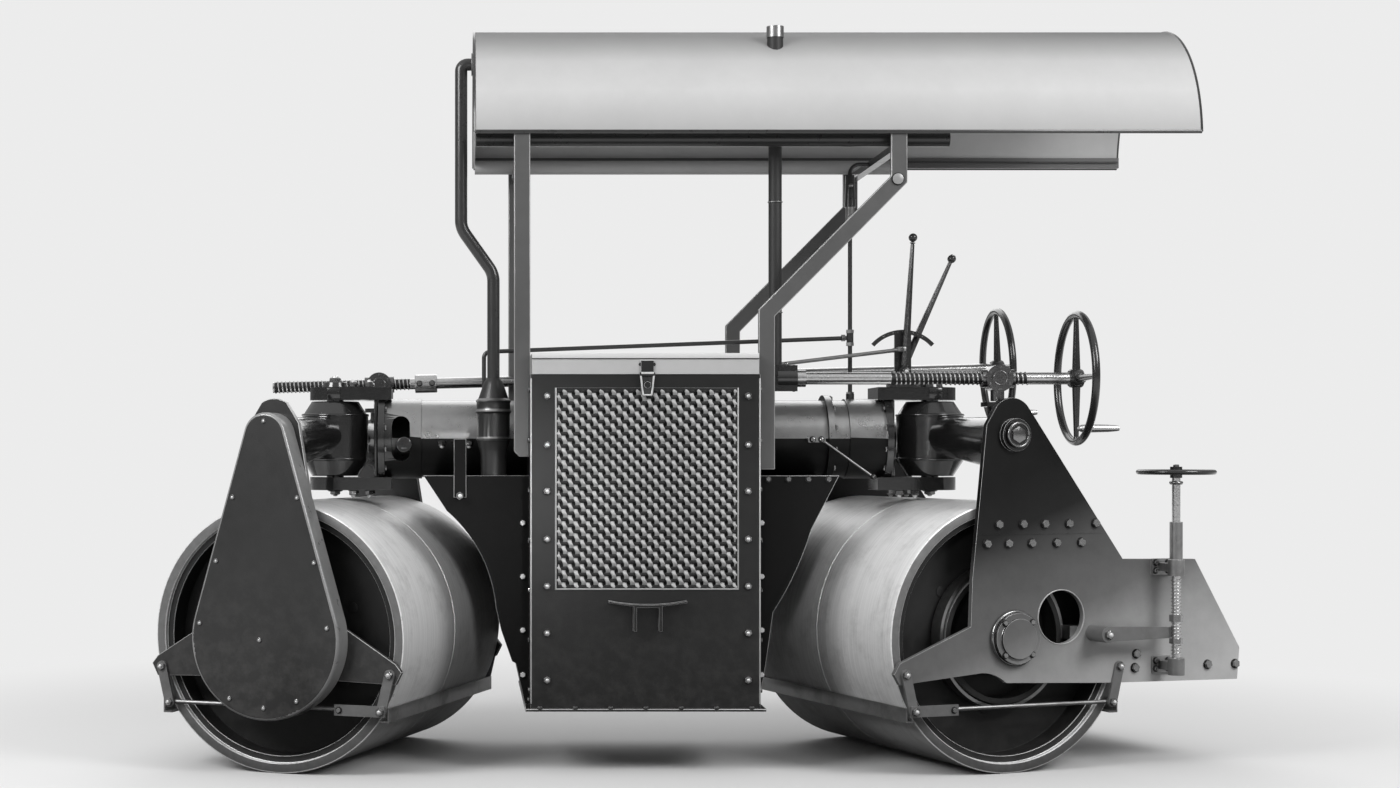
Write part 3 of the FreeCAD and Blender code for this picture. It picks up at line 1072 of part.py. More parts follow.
for side, (frame, home, across, thread_low, thread_high, wheel_x) in SCREWS.items():
    start, end = [f"{b} - ({home})" for b in BEARING]
    low, high = f"{thread_low} - ({home})", f"{thread_high} - ({home})"
    wheel = f"{wheel_x} - ({home})"
    name = f"steering_screw_{side}"
    if side == "near":
        corners = [(f"{start} + 4", "0"), (f"{wheel} - 34", "0"), (f"{wheel} - 34", "screw_r"), (high, "screw_r"),
                   (high, "thread_r"), (low, "thread_r"), (low, "screw_r"), (f"{end} + 40", "screw_r"),
                   (f"{end} + 40", "38"), (f"{end} + 1", "38"), (f"{end} + 1", "screw_r"), (f"{start} + 4", "screw_r")]
    else:
        joint = [f"{x} - ({home})" for x in ("363 - kingpin_x", "472 - kingpin_x")]
        corners = [(low, "0"), (f"{wheel} - 34", "0"), (f"{wheel} - 34", "screw_r"), (f"{end} + 40", "screw_r"),
                   (f"{end} + 40", "38"), (f"{end} + 1", "38"), (f"{end} + 1", "screw_r"), (joint[1], "screw_r"),
                   (joint[1], "46"), (joint[0], "46"), (joint[0], "screw_r"), (high, "screw_r"),
                   (high, "thread_r"), (low, "thread_r")]
    screw = turned(f"screw_{side}", "X", ("0", "0"), corners)
    rim = handwheel(f"wheel_{side}", "X", (wheel, "0", "0"), "wheel_r - wheel_rim_r", "wheel_rim_r", "42",
                    (f"{wheel} - 34", f"{wheel} + 30"), 4)
    crank = rod(f"crank_{side}", "X", wheel, f"{wheel} + 155", "11", ("0", "-222"))
    node(join(f"screw_wheel_{side}", [screw, crank] + rim), name, frame)

    bearing = [rod(f"bearing_{side}_boss", "X", start, end, "46", ("0", "0"))]
    back = ("-(post_out - post_thick)" if side == "near" else "post_out - post_thick") + f" - ({across})"
    flange_y = (back, f"{back} + 14") if side == "near" else (f"{back} - 14", back)
    bearing.append(box(f"bearing_{side}_flange", (f"house_right + 4 - ({home})", end), flange_y, ("-58", "58")))
    hole = rod(f"bearing_{side}_bore", "X", f"house_right - 10 - ({home})", f"{end} + 10", "screw_r + fit", ("0", "0"))
    node(cut(f"bearing_{side}", join(f"bearing_{side}_solid", bearing), [hole]), f"screw_bearing_{side}", frame)

    nut = [
        rod(f"nut_{side}_barrel", "Y", "-nut_half", "nut_half", "nut_r", ("0", "0")),
        rod(f"nut_{side}_cap", "Y", "-nut_half - 9", "nut_half + 9", "nut_r - 24", ("0", "0")),
        rod(f"nut_{side}_stem", "Z", "-nut_r - 41", "0", "30", ("0", "0")),
        rod(f"nut_{side}_sleeve", "X", "-nut_r - 12", "nut_r + 12", "thread_r + 11", ("0", "0")),
    ]
    thread = rod(f"nut_{side}_bore", "X", "-100", "100", "thread_r + fit", ("0", "0"))
    node(cut(f"nut_{side}", join(f"nut_{side}_solid", nut), [thread]), f"steering_nut_{side}", frame)

doc.recompute()
for piece in doc.Objects:
    broken = [word for word in piece.State if word in ("Invalid", "Error")]
    if broken:
        raise RuntimeError(f"{piece.Name} ({piece.Label}) is {broken}")
os.makedirs("parts", exist_ok=True)
for piece in NODES:
    if piece.Shape.isNull() or not piece.Shape.isValid() or not piece.Shape.Solids:
        raise RuntimeError(f"{piece.Label} has no sound shape")
    piece.Shape.exportStep(f"parts/{piece.Label}.step")
print(len(NODES), "nodes")
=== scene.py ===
"""Looks of a tandem road roller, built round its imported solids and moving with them."""

import logging
import math
from abc import ABC, abstractmethod
from collections.abc import Callable
from dataclasses import dataclass
from enum import Enum

import bmesh
import bpy
from mathutils import Matrix, Vector


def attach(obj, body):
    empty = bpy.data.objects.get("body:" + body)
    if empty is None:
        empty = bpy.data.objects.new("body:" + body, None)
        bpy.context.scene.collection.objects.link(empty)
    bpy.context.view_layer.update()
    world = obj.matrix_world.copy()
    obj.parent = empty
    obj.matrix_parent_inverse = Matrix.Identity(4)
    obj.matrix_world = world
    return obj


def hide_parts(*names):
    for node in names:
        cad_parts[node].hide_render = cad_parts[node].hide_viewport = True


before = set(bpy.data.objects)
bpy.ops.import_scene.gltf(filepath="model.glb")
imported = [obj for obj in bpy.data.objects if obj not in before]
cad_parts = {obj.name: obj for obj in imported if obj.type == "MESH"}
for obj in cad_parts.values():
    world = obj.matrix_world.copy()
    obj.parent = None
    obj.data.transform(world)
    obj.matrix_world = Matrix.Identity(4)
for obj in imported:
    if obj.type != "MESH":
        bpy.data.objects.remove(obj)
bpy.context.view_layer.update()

LOG = logging.getLogger("roller")
logging.basicConfig(level=logging.INFO, format="%(message)s")

# The row frame's zero lies this far from the middle of the machine, between the kingpins.
MIDDLE = Vector((-0.28753, -0.0924, 0.0))
KINGPIN_X = 1.399
YAW = {"left": math.radians(-20.0), "right": math.radians(19.5)}
ROLL_R = 0.6
PIVOT_Z = 1.493
TUBE_Z = 1.48
PLATE_FACE = 0.67
SIDES = ((-1, "-Y"), (1, "Y"))
SMOOTH_LIMIT = 32.0
COAT_ROUGHNESS = 0.12


class Body(Enum):
    """The moving bodies that pieces ride on."""

    CHASSIS = "chassis"
    LID_NEAR = "lid_near"
    LID_FAR = "lid_far"
    YOKE_LEFT = "yoke_left"
    ROLL_LEFT = "roll_left"
    YOKE_RIGHT = "yoke_right"
    ROLL_RIGHT = "roll_right"
    SCREW_NEAR = "steering_screw_near"
    SCREW_FAR = "steering_screw_far"
    NUT_NEAR = "nut_near"
    NUT_FAR = "nut_far"


class Slot(Enum):
    """The record's material slots."""

    PAINT = "dark_paint"
    CASTING = "black_casting"
    ROLL = "roll_iron"
    ROOF = "roof_sheet"
    BRIGHT = "bright_steel"


def chassis_frame() -> Matrix:
    """Give the matrix from machine coordinates to the row frame."""
    return Matrix.Translation(MIDDLE)


def yoke_frame(end: str) -> Matrix:
    """Give the matrix from a yoke's own coordinates to the row frame.

    Args:
        end: "left" or "right".

    Returns:
        The yoke's origin on the ground under its kingpin, turned as parked.
    """
    side = -1.0 if end == "left" else 1.0
    place = MIDDLE + Vector((side * KINGPIN_X, 0.0, 0.0))
    return Matrix.Translation(place) @ Matrix.Rotation(YAW[end], 4, "Z")


def yoke_body(end: str) -> Body:
    """Give the body of the yoke at one end."""
    return Body["YOKE_" + end.upper()]


class NodeSheet:
    """A node tree that is filled from top to bottom with short calls."""

    def __init__(self, tree: bpy.types.NodeTree) -> None:
        """Keep the tree and start it empty."""
        self.tree = tree
        tree.nodes.clear()

    def feed(self, socket: bpy.types.NodeSocket, value: object) -> None:
        """Link a socket to an input, or set the input to a plain value."""
        if isinstance(value, bpy.types.NodeSocket):
            self.tree.links.new(value, socket)
        else:
            socket.default_value = value

    def add(self, kind: str, **values: object) -> bpy.types.Node:
        """Add a node and set its properties and inputs.

        Args:
            kind: The node's type name.
            values: A property of the node, or an input by its name with spaces as underscores.

        Returns:
            The new node.
        """
        node = self.tree.nodes.new(kind)
        node.location = (len(self.tree.nodes) * 180, 0)
        for name, value in values.items():
            if hasattr(node, name):
                setattr(node, name, value)
            else:
                self.feed(node.inputs[name.replace("_", " ")], value)
        return node

    def calculate(self, kind: str, operation: str, *operands: object) -> bpy.types.Node:
        """Add a node that works on its first inputs in order.

        Args:
            kind: The node's type name.
            operation: Blender's name of the operation.
            operands: A plain value or a socket for each input.

        Returns:
            The new node.
        """
        node = self.add(kind, operation=operation)
        for socket, value in zip(node.inputs, operands):
            self.feed(socket, value)
        return node

    def math(self, operation: str, first: object, second: object = 0.0) -> bpy.types.NodeSocket:
        """Add a math node and give its result."""
        return self.calculate("ShaderNodeMath", operation, first, second).outputs[0]

    def vector(self, operation: str, *operands: object) -> bpy.types.Node:
        """Add a vector math node for an operation on vectors."""
        return self.calculate("ShaderNodeVectorMath", operation, *operands)

    def scaled(self, vector: bpy.types.NodeSocket, scale: bpy.types.NodeSocket) -> bpy.types.NodeSocket:
        """Scale a vector or a colour."""
        node = self.vector("SCALE", vector)
        self.feed(node.inputs["Scale"], scale)
        return node.outputs[0]

    def blend(self, factor: object, first: object, second: object) -> bpy.types.NodeSocket:
        """Mix two colours.

        Args:
            factor: Share of the second colour, a number or a socket.
            first: A colour or a socket.
            second: A colour or a socket.

        Returns:
            The mixed colour's socket.
        """
        node = self.add("ShaderNodeMix", data_type="RGBA")
        for index, value in ((0, factor), (6, first), (7, second)):
            self.feed(node.inputs[index], value)
        return node.outputs[2]

    def mix_shaders(self, factor: bpy.types.NodeSocket, first: bpy.types.Node,
                    second: bpy.types.Node) -> bpy.types.Node:
        """Mix two shaders, with the factor as the share of the second."""
        node = self.add("ShaderNodeMixShader", Fac=factor)
        self.feed(node.inputs[1], first.outputs[0])
        self.feed(node.inputs[2], second.outputs[0])
        return node

    def place(self) -> bpy.types.NodeSocket:
        """Give the object coordinates."""
        return self.add("ShaderNodeTexCoord").outputs["Object"]

    def noise(self, vector: bpy.types.NodeSocket, scale: object, detail: float,
              roughness: float = 0.5) -> bpy.types.NodeSocket:
        """Add a noise texture and give its value."""
        return self.add("ShaderNodeTexNoise", Vector=vector, Scale=scale, Detail=detail,
                        Roughness=roughness).outputs[0]

    def weigh(self, base: object, *shares: tuple[bpy.types.NodeSocket, float]) -> bpy.types.NodeSocket:
        """Add up a base and weighted sockets, from the last to the first."""
        total = None
        for socket, weight in reversed(shares):
            part = self.math("MULTIPLY", socket, weight)
            total = part if total is None else self.math("ADD", part, total)
        return self.math("ADD", base, total)

    def close(self, shader: bpy.types.Node, kind: str = "ShaderNodeOutputMaterial") -> None:
        """End the sheet with a shader's surface."""
        output = self.add(kind)
        self.tree.links.new(shader.outputs[0], output.inputs["Surface"])


def grey(value: float, warm: float = 0.0) -> tuple[float, float, float, float]:
    """Give a grey colour.

    Args:
        value: Its linear lightness.
        warm: A slight lean to red and away from blue.

    Returns:
        Red, green, blue and alpha.
    """
    return (value * (1.0 + warm), value, value * (1.0 - warm), 1.0)


def new_group(name: str, inputs: dict[str, object]) -> tuple:
    """Start a shader node group that gives Color, Roughness and Height.

    Args:
        name: The group's name.
        inputs: Default of each input by its name, a colour or a number.

    Returns:
        The group, its sheet, its input node's outputs and its output node's inputs.
    """
    group = bpy.data.node_groups.new(name, "ShaderNodeTree")
    for label, value in inputs.items():
        kind = "NodeSocketColor" if isinstance(value, tuple) else "NodeSocketFloat"
        group.interface.new_socket(label, in_out="INPUT", socket_type=kind).default_value = value
    for label, kind in (("Color", "NodeSocketColor"), ("Roughness", "NodeSocketFloat"),
                        ("Height", "NodeSocketFloat")):
        group.interface.new_socket(label, in_out="OUTPUT", socket_type=kind)
    sheet = NodeSheet(group)
    return group, sheet, sheet.add("NodeGroupInput").outputs, sheet.add("NodeGroupOutput").inputs


def weathering_group() -> bpy.types.NodeTree:
    """Build the group that clouds a finish, dusts its lower parts and gives it a fine grain."""
    group, sheet, given, result = new_group("weathering", {
        "Base": grey(0.1), "Dust": grey(0.25, 0.04), "Cloud": 0.3, "Dust Share": 0.3, "Dust Top": 1.1,
        "Roughness": 0.4, "Grain Scale": 220.0,
    })
    place = sheet.place()
    broad = sheet.noise(place, 3.2, 6.0, 0.6)
    patch = sheet.noise(place, 17.0, 5.0, 0.65)
    grain = sheet.noise(place, given["Grain Scale"], 3.0)
    cloud = sheet.math("ADD", sheet.math("MULTIPLY", broad, 0.65), sheet.math("MULTIPLY", patch, 0.35))
    depth = sheet.math("MULTIPLY", given["Cloud"], 4.0)
    shade = sheet.math("ADD", 1.0, sheet.math("MULTIPLY", sheet.math("SUBTRACT", cloud, 0.5), depth))
    base = sheet.scaled(given["Base"], shade)
    height = sheet.add("ShaderNodeSeparateXYZ", Vector=place).outputs["Z"]
    low = sheet.add("ShaderNodeMapRange", interpolation_type="SMOOTHSTEP", Value=height, From_Min=0.0,
                    From_Max=given["Dust Top"], To_Min=1.0, To_Max=0.0).outputs[0]
    spots = sheet.add("ShaderNodeMapRange", Value=patch, From_Min=0.42, From_Max=0.68).outputs[0]
    dusty = sheet.math("MULTIPLY", sheet.math("MULTIPLY", low, given["Dust Share"]),
                       sheet.math("ADD", 0.35, spots))
    rough = sheet.weigh(given["Roughness"], (sheet.math("SUBTRACT", patch, 0.5), 0.22), (dusty, 0.5))
    sheet.feed(result["Color"], sheet.blend(dusty, base, given["Dust"]))
    sheet.feed(result["Roughness"], rough)
    sheet.feed(result["Height"], sheet.weigh(grain, (patch, 0.6)))
    return group


def lathe_group() -> bpy.types.NodeTree:
    """Build the group that marks metal with fine parallel lines along one turned direction."""
    group, sheet, given, result = new_group("lathe_marks", {
        "Base": grey(0.5), "Stain": grey(0.12, 0.05), "Stain Share": 0.3, "Roughness": 0.3, "Turn": 0.0,
        "Across": 3.0, "Along": 160.0,
    })
    place = sheet.place()
    turn = sheet.add("ShaderNodeCombineXYZ", Z=given["Turn"]).outputs[0]
    turned = sheet.add("ShaderNodeMapping", vector_type="TEXTURE", Vector=place, Rotation=turn).outputs[0]
    stretch = sheet.add("ShaderNodeCombineXYZ", X=given["Across"], Y=given["Along"], Z=given["Across"])
    drawn = sheet.vector("MULTIPLY", turned, stretch.outputs[0]).outputs[0]
    lines = sheet.noise(drawn, 1.0, 4.0)
    blot = sheet.noise(place, 6.0, 7.0, 0.68)
    pits = sheet.noise(place, 95.0, 3.0)
    base = sheet.scaled(given["Base"], sheet.weigh(0.78, (lines, 0.44)))
    worn = sheet.add("ShaderNodeMapRange", interpolation_type="SMOOTHSTEP", Value=blot, From_Min=0.45,
                     From_Max=0.75).outputs[0]
    share = sheet.math("MULTIPLY", worn, given["Stain Share"])
    rough = sheet.weigh(given["Roughness"], (sheet.math("SUBTRACT", lines, 0.5), 0.25), (share, 0.35))
    sheet.feed(result["Color"], sheet.blend(share, base, given["Stain"]))
    sheet.feed(result["Roughness"], rough)
    sheet.feed(result["Height"], sheet.weigh(lines, (pits, 0.5)))
    return group


class Surface(ABC):
    """What the finishes share: a name, a slot, and a material that is made once."""

    name: str
    slot: Slot

    def material(self) -> bpy.types.Material:
        """Give the finish's material, made at the first call."""
        made = bpy.data.materials.get(self.name)
        if made is None:
            made = bpy.data.materials.new(self.name)
            made.use_nodes = True
            self.shade(NodeSheet(made.node_tree))
        return made

    @abstractmethod
    def shade(self, sheet: NodeSheet) -> None:
        """Fill the material's sheet."""

    @staticmethod
    def coat_with(sheet: NodeSheet, source: bpy.types.Node, depth: float, **values: float) -> None:
        """Close a material with its shader.

        Args:
            sheet: The material's sheet.
            source: The group node that gives Color, Roughness and Height.
            depth: How deep the height goes, in metres.
            values: Further inputs of the shader, by name with spaces as underscores.
        """
        bump = sheet.add("ShaderNodeBump", Height=source.outputs["Height"], Distance=depth, Strength=1.0)
        sheet.close(sheet.add("ShaderNodeBsdfPrincipled", Base_Color=source.outputs["Color"],
                              Roughness=source.outputs["Roughness"], Normal=bump.outputs[0],
                              Coat_Roughness=COAT_ROUGHNESS, **values))


@dataclass(frozen=True)
class PaintedShadeRamp:
    """A painted shade: a lightness that changes along one direction of the machine.

    The stops are pairs of a share of the way from low to high, and the lightness there.
    """

    along: tuple[float, float, float]
    low: float
    high: float
    stops: tuple[tuple[float, float], ...]

    def colour(self, sheet: NodeSheet) -> bpy.types.NodeSocket:
        """Add the ramp's nodes to a sheet and give its colour."""
        way = sheet.vector("DOT_PRODUCT", sheet.place(), self.along).outputs["Value"]
        share = sheet.add("ShaderNodeMapRange", Value=way, From_Min=self.low, From_Max=self.high)
        ramp = sheet.add("ShaderNodeValToRGB", Fac=share.outputs[0])
        points = ramp.color_ramp.elements
        points[0].color = grey(self.stops[0][1])
        points[1].color = grey(self.stops[-1][1])
        for where, lightness in self.stops[1:-1]:
            points.new(where).color = grey(lightness)
        return ramp.outputs[0]


@dataclass(frozen=True)
class Finish(Surface):
    """A painted or cast finish, clouded and dusted by the weathering group; its lightness may be a ramp of
    painted shade.
    """

    name: str
    lightness: float | PaintedShadeRamp
    roughness: float
    slot: Slot
    metallic: float = 0.0
    coat: float = 0.0
    cloud: float = 0.12
    dust: float = 0.25
    dust_lightness: float = 0.2
    dust_top: float = 1.1
    grain_scale: float = 220.0
    grain_depth: float = 0.0004
    specular: float = 0.5

    def shade(self, sheet: NodeSheet) -> None:
        """Fill the material's sheet."""
        group = bpy.data.node_groups.get("weathering") or weathering_group()
        base = self.lightness.colour(sheet) if isinstance(self.lightness, PaintedShadeRamp) else grey(self.lightness)
        worn = sheet.add("ShaderNodeGroup", node_tree=group, Base=base, Dust=grey(self.dust_lightness, 0.03),
                         Cloud=self.cloud, Dust_Share=self.dust, Dust_Top=self.dust_top,
                         Roughness=self.roughness, Grain_Scale=self.grain_scale)
        self.coat_with(sheet, worn, self.grain_depth, Metallic=self.metallic, Coat_Weight=self.coat,
                       Specular_IOR_Level=self.specular)


STAIN = grey(0.1, 0.04)
LINE_DEPTH = 0.0003


@dataclass(frozen=True)
class Turned(Surface):
    """A bare metal finish with fine lines along the direction it was turned or rolled in."""

    name: str
    lightness: float
    roughness: float
    slot: Slot
    turn: float = 0.0
    across: float = 3.0
    along: float = 160.0
    stain: float = 0.3
    metallic: float = 1.0

    def shade(self, sheet: NodeSheet) -> None:
        """Fill the material's sheet."""
        group = bpy.data.node_groups.get("lathe_marks") or lathe_group()
        marks = sheet.add("ShaderNodeGroup", node_tree=group, Base=grey(self.lightness), Stain=STAIN,
                          Stain_Share=self.stain, Roughness=self.roughness, Turn=self.turn,
                          Across=self.across, Along=self.along)
        self.coat_with(sheet, marks, LINE_DEPTH, Metallic=self.metallic)


# Painted shade on the right yoke's plates: near black high up and towards the kingpin, pale low down and to
# the right.
PLATE_SHADE_RAMP = PaintedShadeRamp((0.36, 0.0, -0.95), -0.75, 0.45,
                  ((0.0, 0.004), (0.17, 0.012), (0.3, 0.085), (0.54, 0.16), (0.68, 0.36), (1.0, 0.62)))
# Painted shade on the roof sheet: pale on its flanks, a little darker at the eaves, dark on the crown.
ROOF_SHADE_RAMP = PaintedShadeRamp((0.0, 0.0, 1.0), 2.83, 3.38, ((0.0, 0.42), (0.36, 0.56), (0.62, 0.504), (1.0, 0.1)))
PLATE_SHADED_PAINT = Finish("plate_paint_painted_shade", PLATE_SHADE_RAMP, 0.4, Slot.PAINT, cloud=0.2, dust=0.1, dust_top=1.0,
                     grain_scale=260.0, specular=0.25)
HOUSING_PAINT = Finish("housing_paint", 0.013, 0.36, Slot.PAINT, coat=0.08, cloud=0.22, dust=0.1,
                       specular=0.4)
CASE_PAINT = Finish("case_paint", 0.017, 0.4, Slot.PAINT, coat=0.2, cloud=0.24, dust=0.2)
FRAME_PAINT = Finish("frame_paint", 0.005, 0.65, Slot.PAINT, cloud=0.24, dust=0.03, specular=0.15)
POST_PAINT = Finish("post_paint", 0.095, 0.36, Slot.PAINT, coat=0.25, cloud=0.14, dust=0.1)
CASTING = Finish("casting_paint", 0.045, 0.16, Slot.CASTING, metallic=0.7, coat=1.0, cloud=0.2, dust=0.0,
                 grain_scale=130.0, grain_depth=0.0006)
# Near black for the downward faces of the backbone's middle: painted shade.
TUBE_SHADE = Finish("tube_underside_painted_shade", 0.006, 0.4, Slot.CASTING, cloud=0.1, dust=0.0, specular=0.2)
TUBE_PAINT = Finish("tube_paint", 0.34, 0.3, Slot.CASTING, metallic=0.85, coat=0.5, cloud=0.2, dust=0.0,
                    grain_scale=130.0, grain_depth=0.0006)
PIPE_PAINT = Finish("pipe_paint", 0.03, 0.3, Slot.PAINT, coat=0.35, cloud=0.15, dust=0.1)
SOOT = Finish("exhaust_soot", 0.02, 0.5, Slot.CASTING, cloud=0.25, dust=0.05, grain_depth=0.0008)
LID_PAINT = Finish("lid_paint", 0.5, 0.42, Slot.PAINT, cloud=0.08, dust=0.0)
LID_TOP_HIGHLIGHT = Finish("lid_top_painted_highlight", 0.72, 0.4, Slot.PAINT, cloud=0.05, dust=0.0)
# Light rounded edges: partly rubbed paint, partly painted highlight where the edges catch the light.
EDGE_WEAR_AND_HIGHLIGHT = Finish("rubbed_edge_and_painted_highlight", 0.5, 0.34, Slot.PAINT, metallic=0.2, cloud=0.24, dust=0.2)
CASE_EDGE_HIGHLIGHT = Finish("case_edge_painted_highlight", 0.3, 0.3, Slot.PAINT, metallic=0.2, coat=0.3, cloud=0.3, dust=0.1)
POST_EDGE_HIGHLIGHT = Finish("post_edge_painted_highlight", 0.34, 0.34, Slot.PAINT, metallic=0.2, cloud=0.3, dust=0.0)
ROOF_SHADED_PAINT = Finish("roof_paint_painted_shade", ROOF_SHADE_RAMP, 0.6, Slot.ROOF, cloud=0.06, dust=0.0, grain_scale=260.0,
                    grain_depth=0.0002)
ROOF_UNDER = Finish("roof_underside", 0.45, 0.5, Slot.ROOF, cloud=0.1, dust=0.0)
FAR_RAIL_LIGHT = Finish("far_rail_painted_light", 0.42, 0.4, Slot.ROOF, cloud=0.1, dust=0.0)
WEB_PAINT = Finish("roll_web_paint", 0.008, 0.5, Slot.ROLL, cloud=0.25, dust=0.25, dust_lightness=0.06)
DARK_BLOCK = Finish("engine_block_paint", 0.03, 0.55, Slot.CASTING, cloud=0.3, dust=0.3)
ROLL_FACE = {
    end: Turned(f"roll_face_{end}", 0.86, 0.46, Slot.ROLL, turn=yaw, across=1.4, along=150.0, stain=0.25,
                metallic=0.28)
    for end, yaw in YAW.items()
}
ROLL_RIM = Turned("roll_rim", 0.2, 0.38, Slot.ROLL, across=40.0, along=40.0, stain=0.35, metallic=0.4)
RIM_EDGE_HIGHLIGHT = Turned("rim_edge_painted_highlight", 0.85, 0.3, Slot.ROLL, across=40.0, along=40.0, stain=0.1, metallic=0.2)
SCRAPER_IRON = Turned("scraper_iron", 0.5, 0.42, Slot.BRIGHT, across=30.0, along=6.0, stain=0.45)
SHAFT_STEEL = Turned("shaft_steel", 0.62, 0.22, Slot.BRIGHT, across=120.0, along=8.0, stain=0.15)
FITTING_STEEL = Turned("fitting_steel", 0.34, 0.34, Slot.BRIGHT, across=30.0, along=30.0, stain=0.45)
LINK_STEEL = Turned("link_steel", 0.2, 0.4, Slot.BRIGHT, across=20.0, along=20.0, stain=0.5, metallic=0.3)
STUD_HIGHLIGHT = Turned("stud_painted_highlight", 0.75, 0.3, Slot.BRIGHT, across=60.0, along=60.0, stain=0.2, metallic=0.2)
GRILLE_BEAD_HIGHLIGHT = Turned("grille_bead_painted_highlight", 0.5, 0.4, Slot.BRIGHT, across=30.0, along=30.0, stain=0.25,
                      metallic=0.3)
WIRE = Turned("grille_wire", 0.5, 0.5, Slot.BRIGHT, across=60.0, along=60.0, stain=0.3, metallic=0.0)
WIRE_SHADE = Finish("grille_wire_painted_shade", 0.01, 0.6, Slot.BRIGHT, cloud=0.2, dust=0.0)
DECK_TOP = Turned("deck_tread", 0.28, 0.46, Slot.BRIGHT, across=12.0, along=12.0, stain=0.6)
BOLT_STEEL = Finish("bolt_black", 0.26, 0.2, Slot.BRIGHT, metallic=0.95, coat=0.3, cloud=0.1, dust=0.0)
NUT_IRON = Finish("nut_iron", 0.16, 0.22, Slot.BRIGHT, metallic=0.95, coat=0.5, cloud=0.2, dust=0.0)
WHEEL_BLACK = Finish("handwheel_black", 0.02, 0.22, Slot.BRIGHT, coat=0.5, cloud=0.1, dust=0.0)
LEVER_BLACK = Finish("lever_black", 0.025, 0.26, Slot.BRIGHT, coat=0.4, cloud=0.1, dust=0.0)
THREAD_ROOT_SHADE = Finish("thread_root_painted_shade", 0.006, 0.5, Slot.BRIGHT, cloud=0.1, dust=0.0)
WASHER_SHADE_BLACK = Finish("washer_black_painted_shade", 0.006, 0.6, Slot.CASTING, cloud=0.1, dust=0.1)
BOSS_PAINT = Finish("boss_paint", 0.012, 0.24, Slot.CASTING, coat=0.7, cloud=0.2, dust=0.05)


FACING = {
    "Z": Matrix.Identity(4),
    "-Z": Matrix.Rotation(math.pi, 4, "X"),
    "X": Matrix.Rotation(math.pi / 2, 4, "Y"),
    "-X": Matrix.Rotation(-math.pi / 2, 4, "Y"),
    "Y": Matrix.Rotation(-math.pi / 2, 4, "X"),
    "-Y": Matrix.Rotation(math.pi / 2, 4, "X"),
}


def at(x: float, y: float, z: float, facing: str = "Z") -> Matrix:
    """Give the matrix that stands a shape at a point.

    Args:
        x: Across the page, in metres.
        y: Into the page.
        z: Up.
        facing: The direction that the shape's own Z turns to, a key of FACING.

    Returns:
        The matrix.
    """
    return Matrix.Translation((x, y, z)) @ FACING[facing]


def over(low: float, high: float, count: int) -> list[float]:
    """Spread a count of evenly spaced numbers from low to high."""
    return [low + (high - low) * k / (count - 1) for k in range(count)]


def around(centre: tuple[float, float, float], radius: float, facing: str, count: int,
           start: float = 0.0) -> list[Matrix]:
    """Stand shapes on a circle whose axis lies along the way that they face.

    Args:
        centre: The circle's centre.
        radius: Its radius.
        facing: The shapes' direction, along X or along Y.
        count: How many shapes share the circle evenly.
        start: Angle of the first, in radians.

    Returns:
        Their matrices.
    """
    x, y, z = centre
    places = []
    for k in range(count):
        angle = start + 2 * math.pi * k / count
        across, up = radius * math.cos(angle), radius * math.sin(angle)
        aside = (x, y + across) if "X" in facing else (x + across, y)
        places.append(at(*aside, z + up, facing))
    return places


def cylinder(mesh: bmesh.types.BMesh, radius: float, depth: float, foot: float, sides: int,
             top: float | None = None) -> None:
    """Add an upright cylinder or cone.

    Args:
        mesh: The mesh that takes it.
        radius: Radius at its foot.
        depth: Height.
        foot: Height of its foot.
        sides: Number of sides.
        top: Radius at its top, or the same as at its foot.
    """
    place = Matrix.Translation((0.0, 0.0, foot + depth / 2))
    bmesh.ops.create_cone(mesh, cap_ends=True, segments=sides, radius1=radius,
                          radius2=radius if top is None else top, depth=depth, matrix=place)


@dataclass(frozen=True)
class Fastener:
    """A bolt, nut or rivet head that stands up along Z."""

    across: float
    head: float
    washer: float = 0.0
    stud: float = 0.0
    sides: int = 6

    def shape(self) -> bmesh.types.BMesh:
        """Give the mesh of the head, with its foot just under zero or on its washer."""
        mesh = bmesh.new()
        foot = 0.002 if self.washer else -0.001
        crown = self.head * 0.22
        cylinder(mesh, self.across, self.head - crown, foot, self.sides)
        cylinder(mesh, self.across, crown, foot + self.head - crown, self.sides, self.across * 0.82)
        return mesh

    def disc(self) -> bmesh.types.BMesh:
        """Give the mesh of the washer."""
        mesh = bmesh.new()
        cylinder(mesh, self.washer, 0.004, -0.001, 24)
        return mesh

    def tip(self) -> bmesh.types.BMesh:
        """Give the mesh of the stud's rounded end."""
        mesh = bmesh.new()
        foot = self.head + (0.001 if self.washer else -0.002)
        cylinder(mesh, self.stud, self.head * 0.35, foot, 16, self.stud * 0.9)
        cylinder(mesh, self.stud * 0.9, self.head * 0.2, foot + self.head * 0.35, 16, self.stud * 0.4)
        return mesh


CASE_SCREW = Fastener(0.011, 0.006, stud=0.005, sides=16)
PANEL_NUT = Fastener(0.017, 0.013, washer=0.02, stud=0.008)
PLATE_BOLT = Fastener(0.02, 0.014, washer=0.022)
SMALL_BOLT = Fastener(0.0125, 0.009, washer=0.015)
STUD_NUT = Fastener(0.019, 0.022, washer=0.023, stud=0.0105)
PIN_NUT = Fastener(0.019, 0.014, stud=0.009)
RIVET = Fastener(0.008, 0.005, sides=12)
PIVOT_HEAD = Fastener(0.024, 0.009, washer=0.028, sides=28)
ROLL_PLUG = Fastener(0.024, 0.006, sides=24)


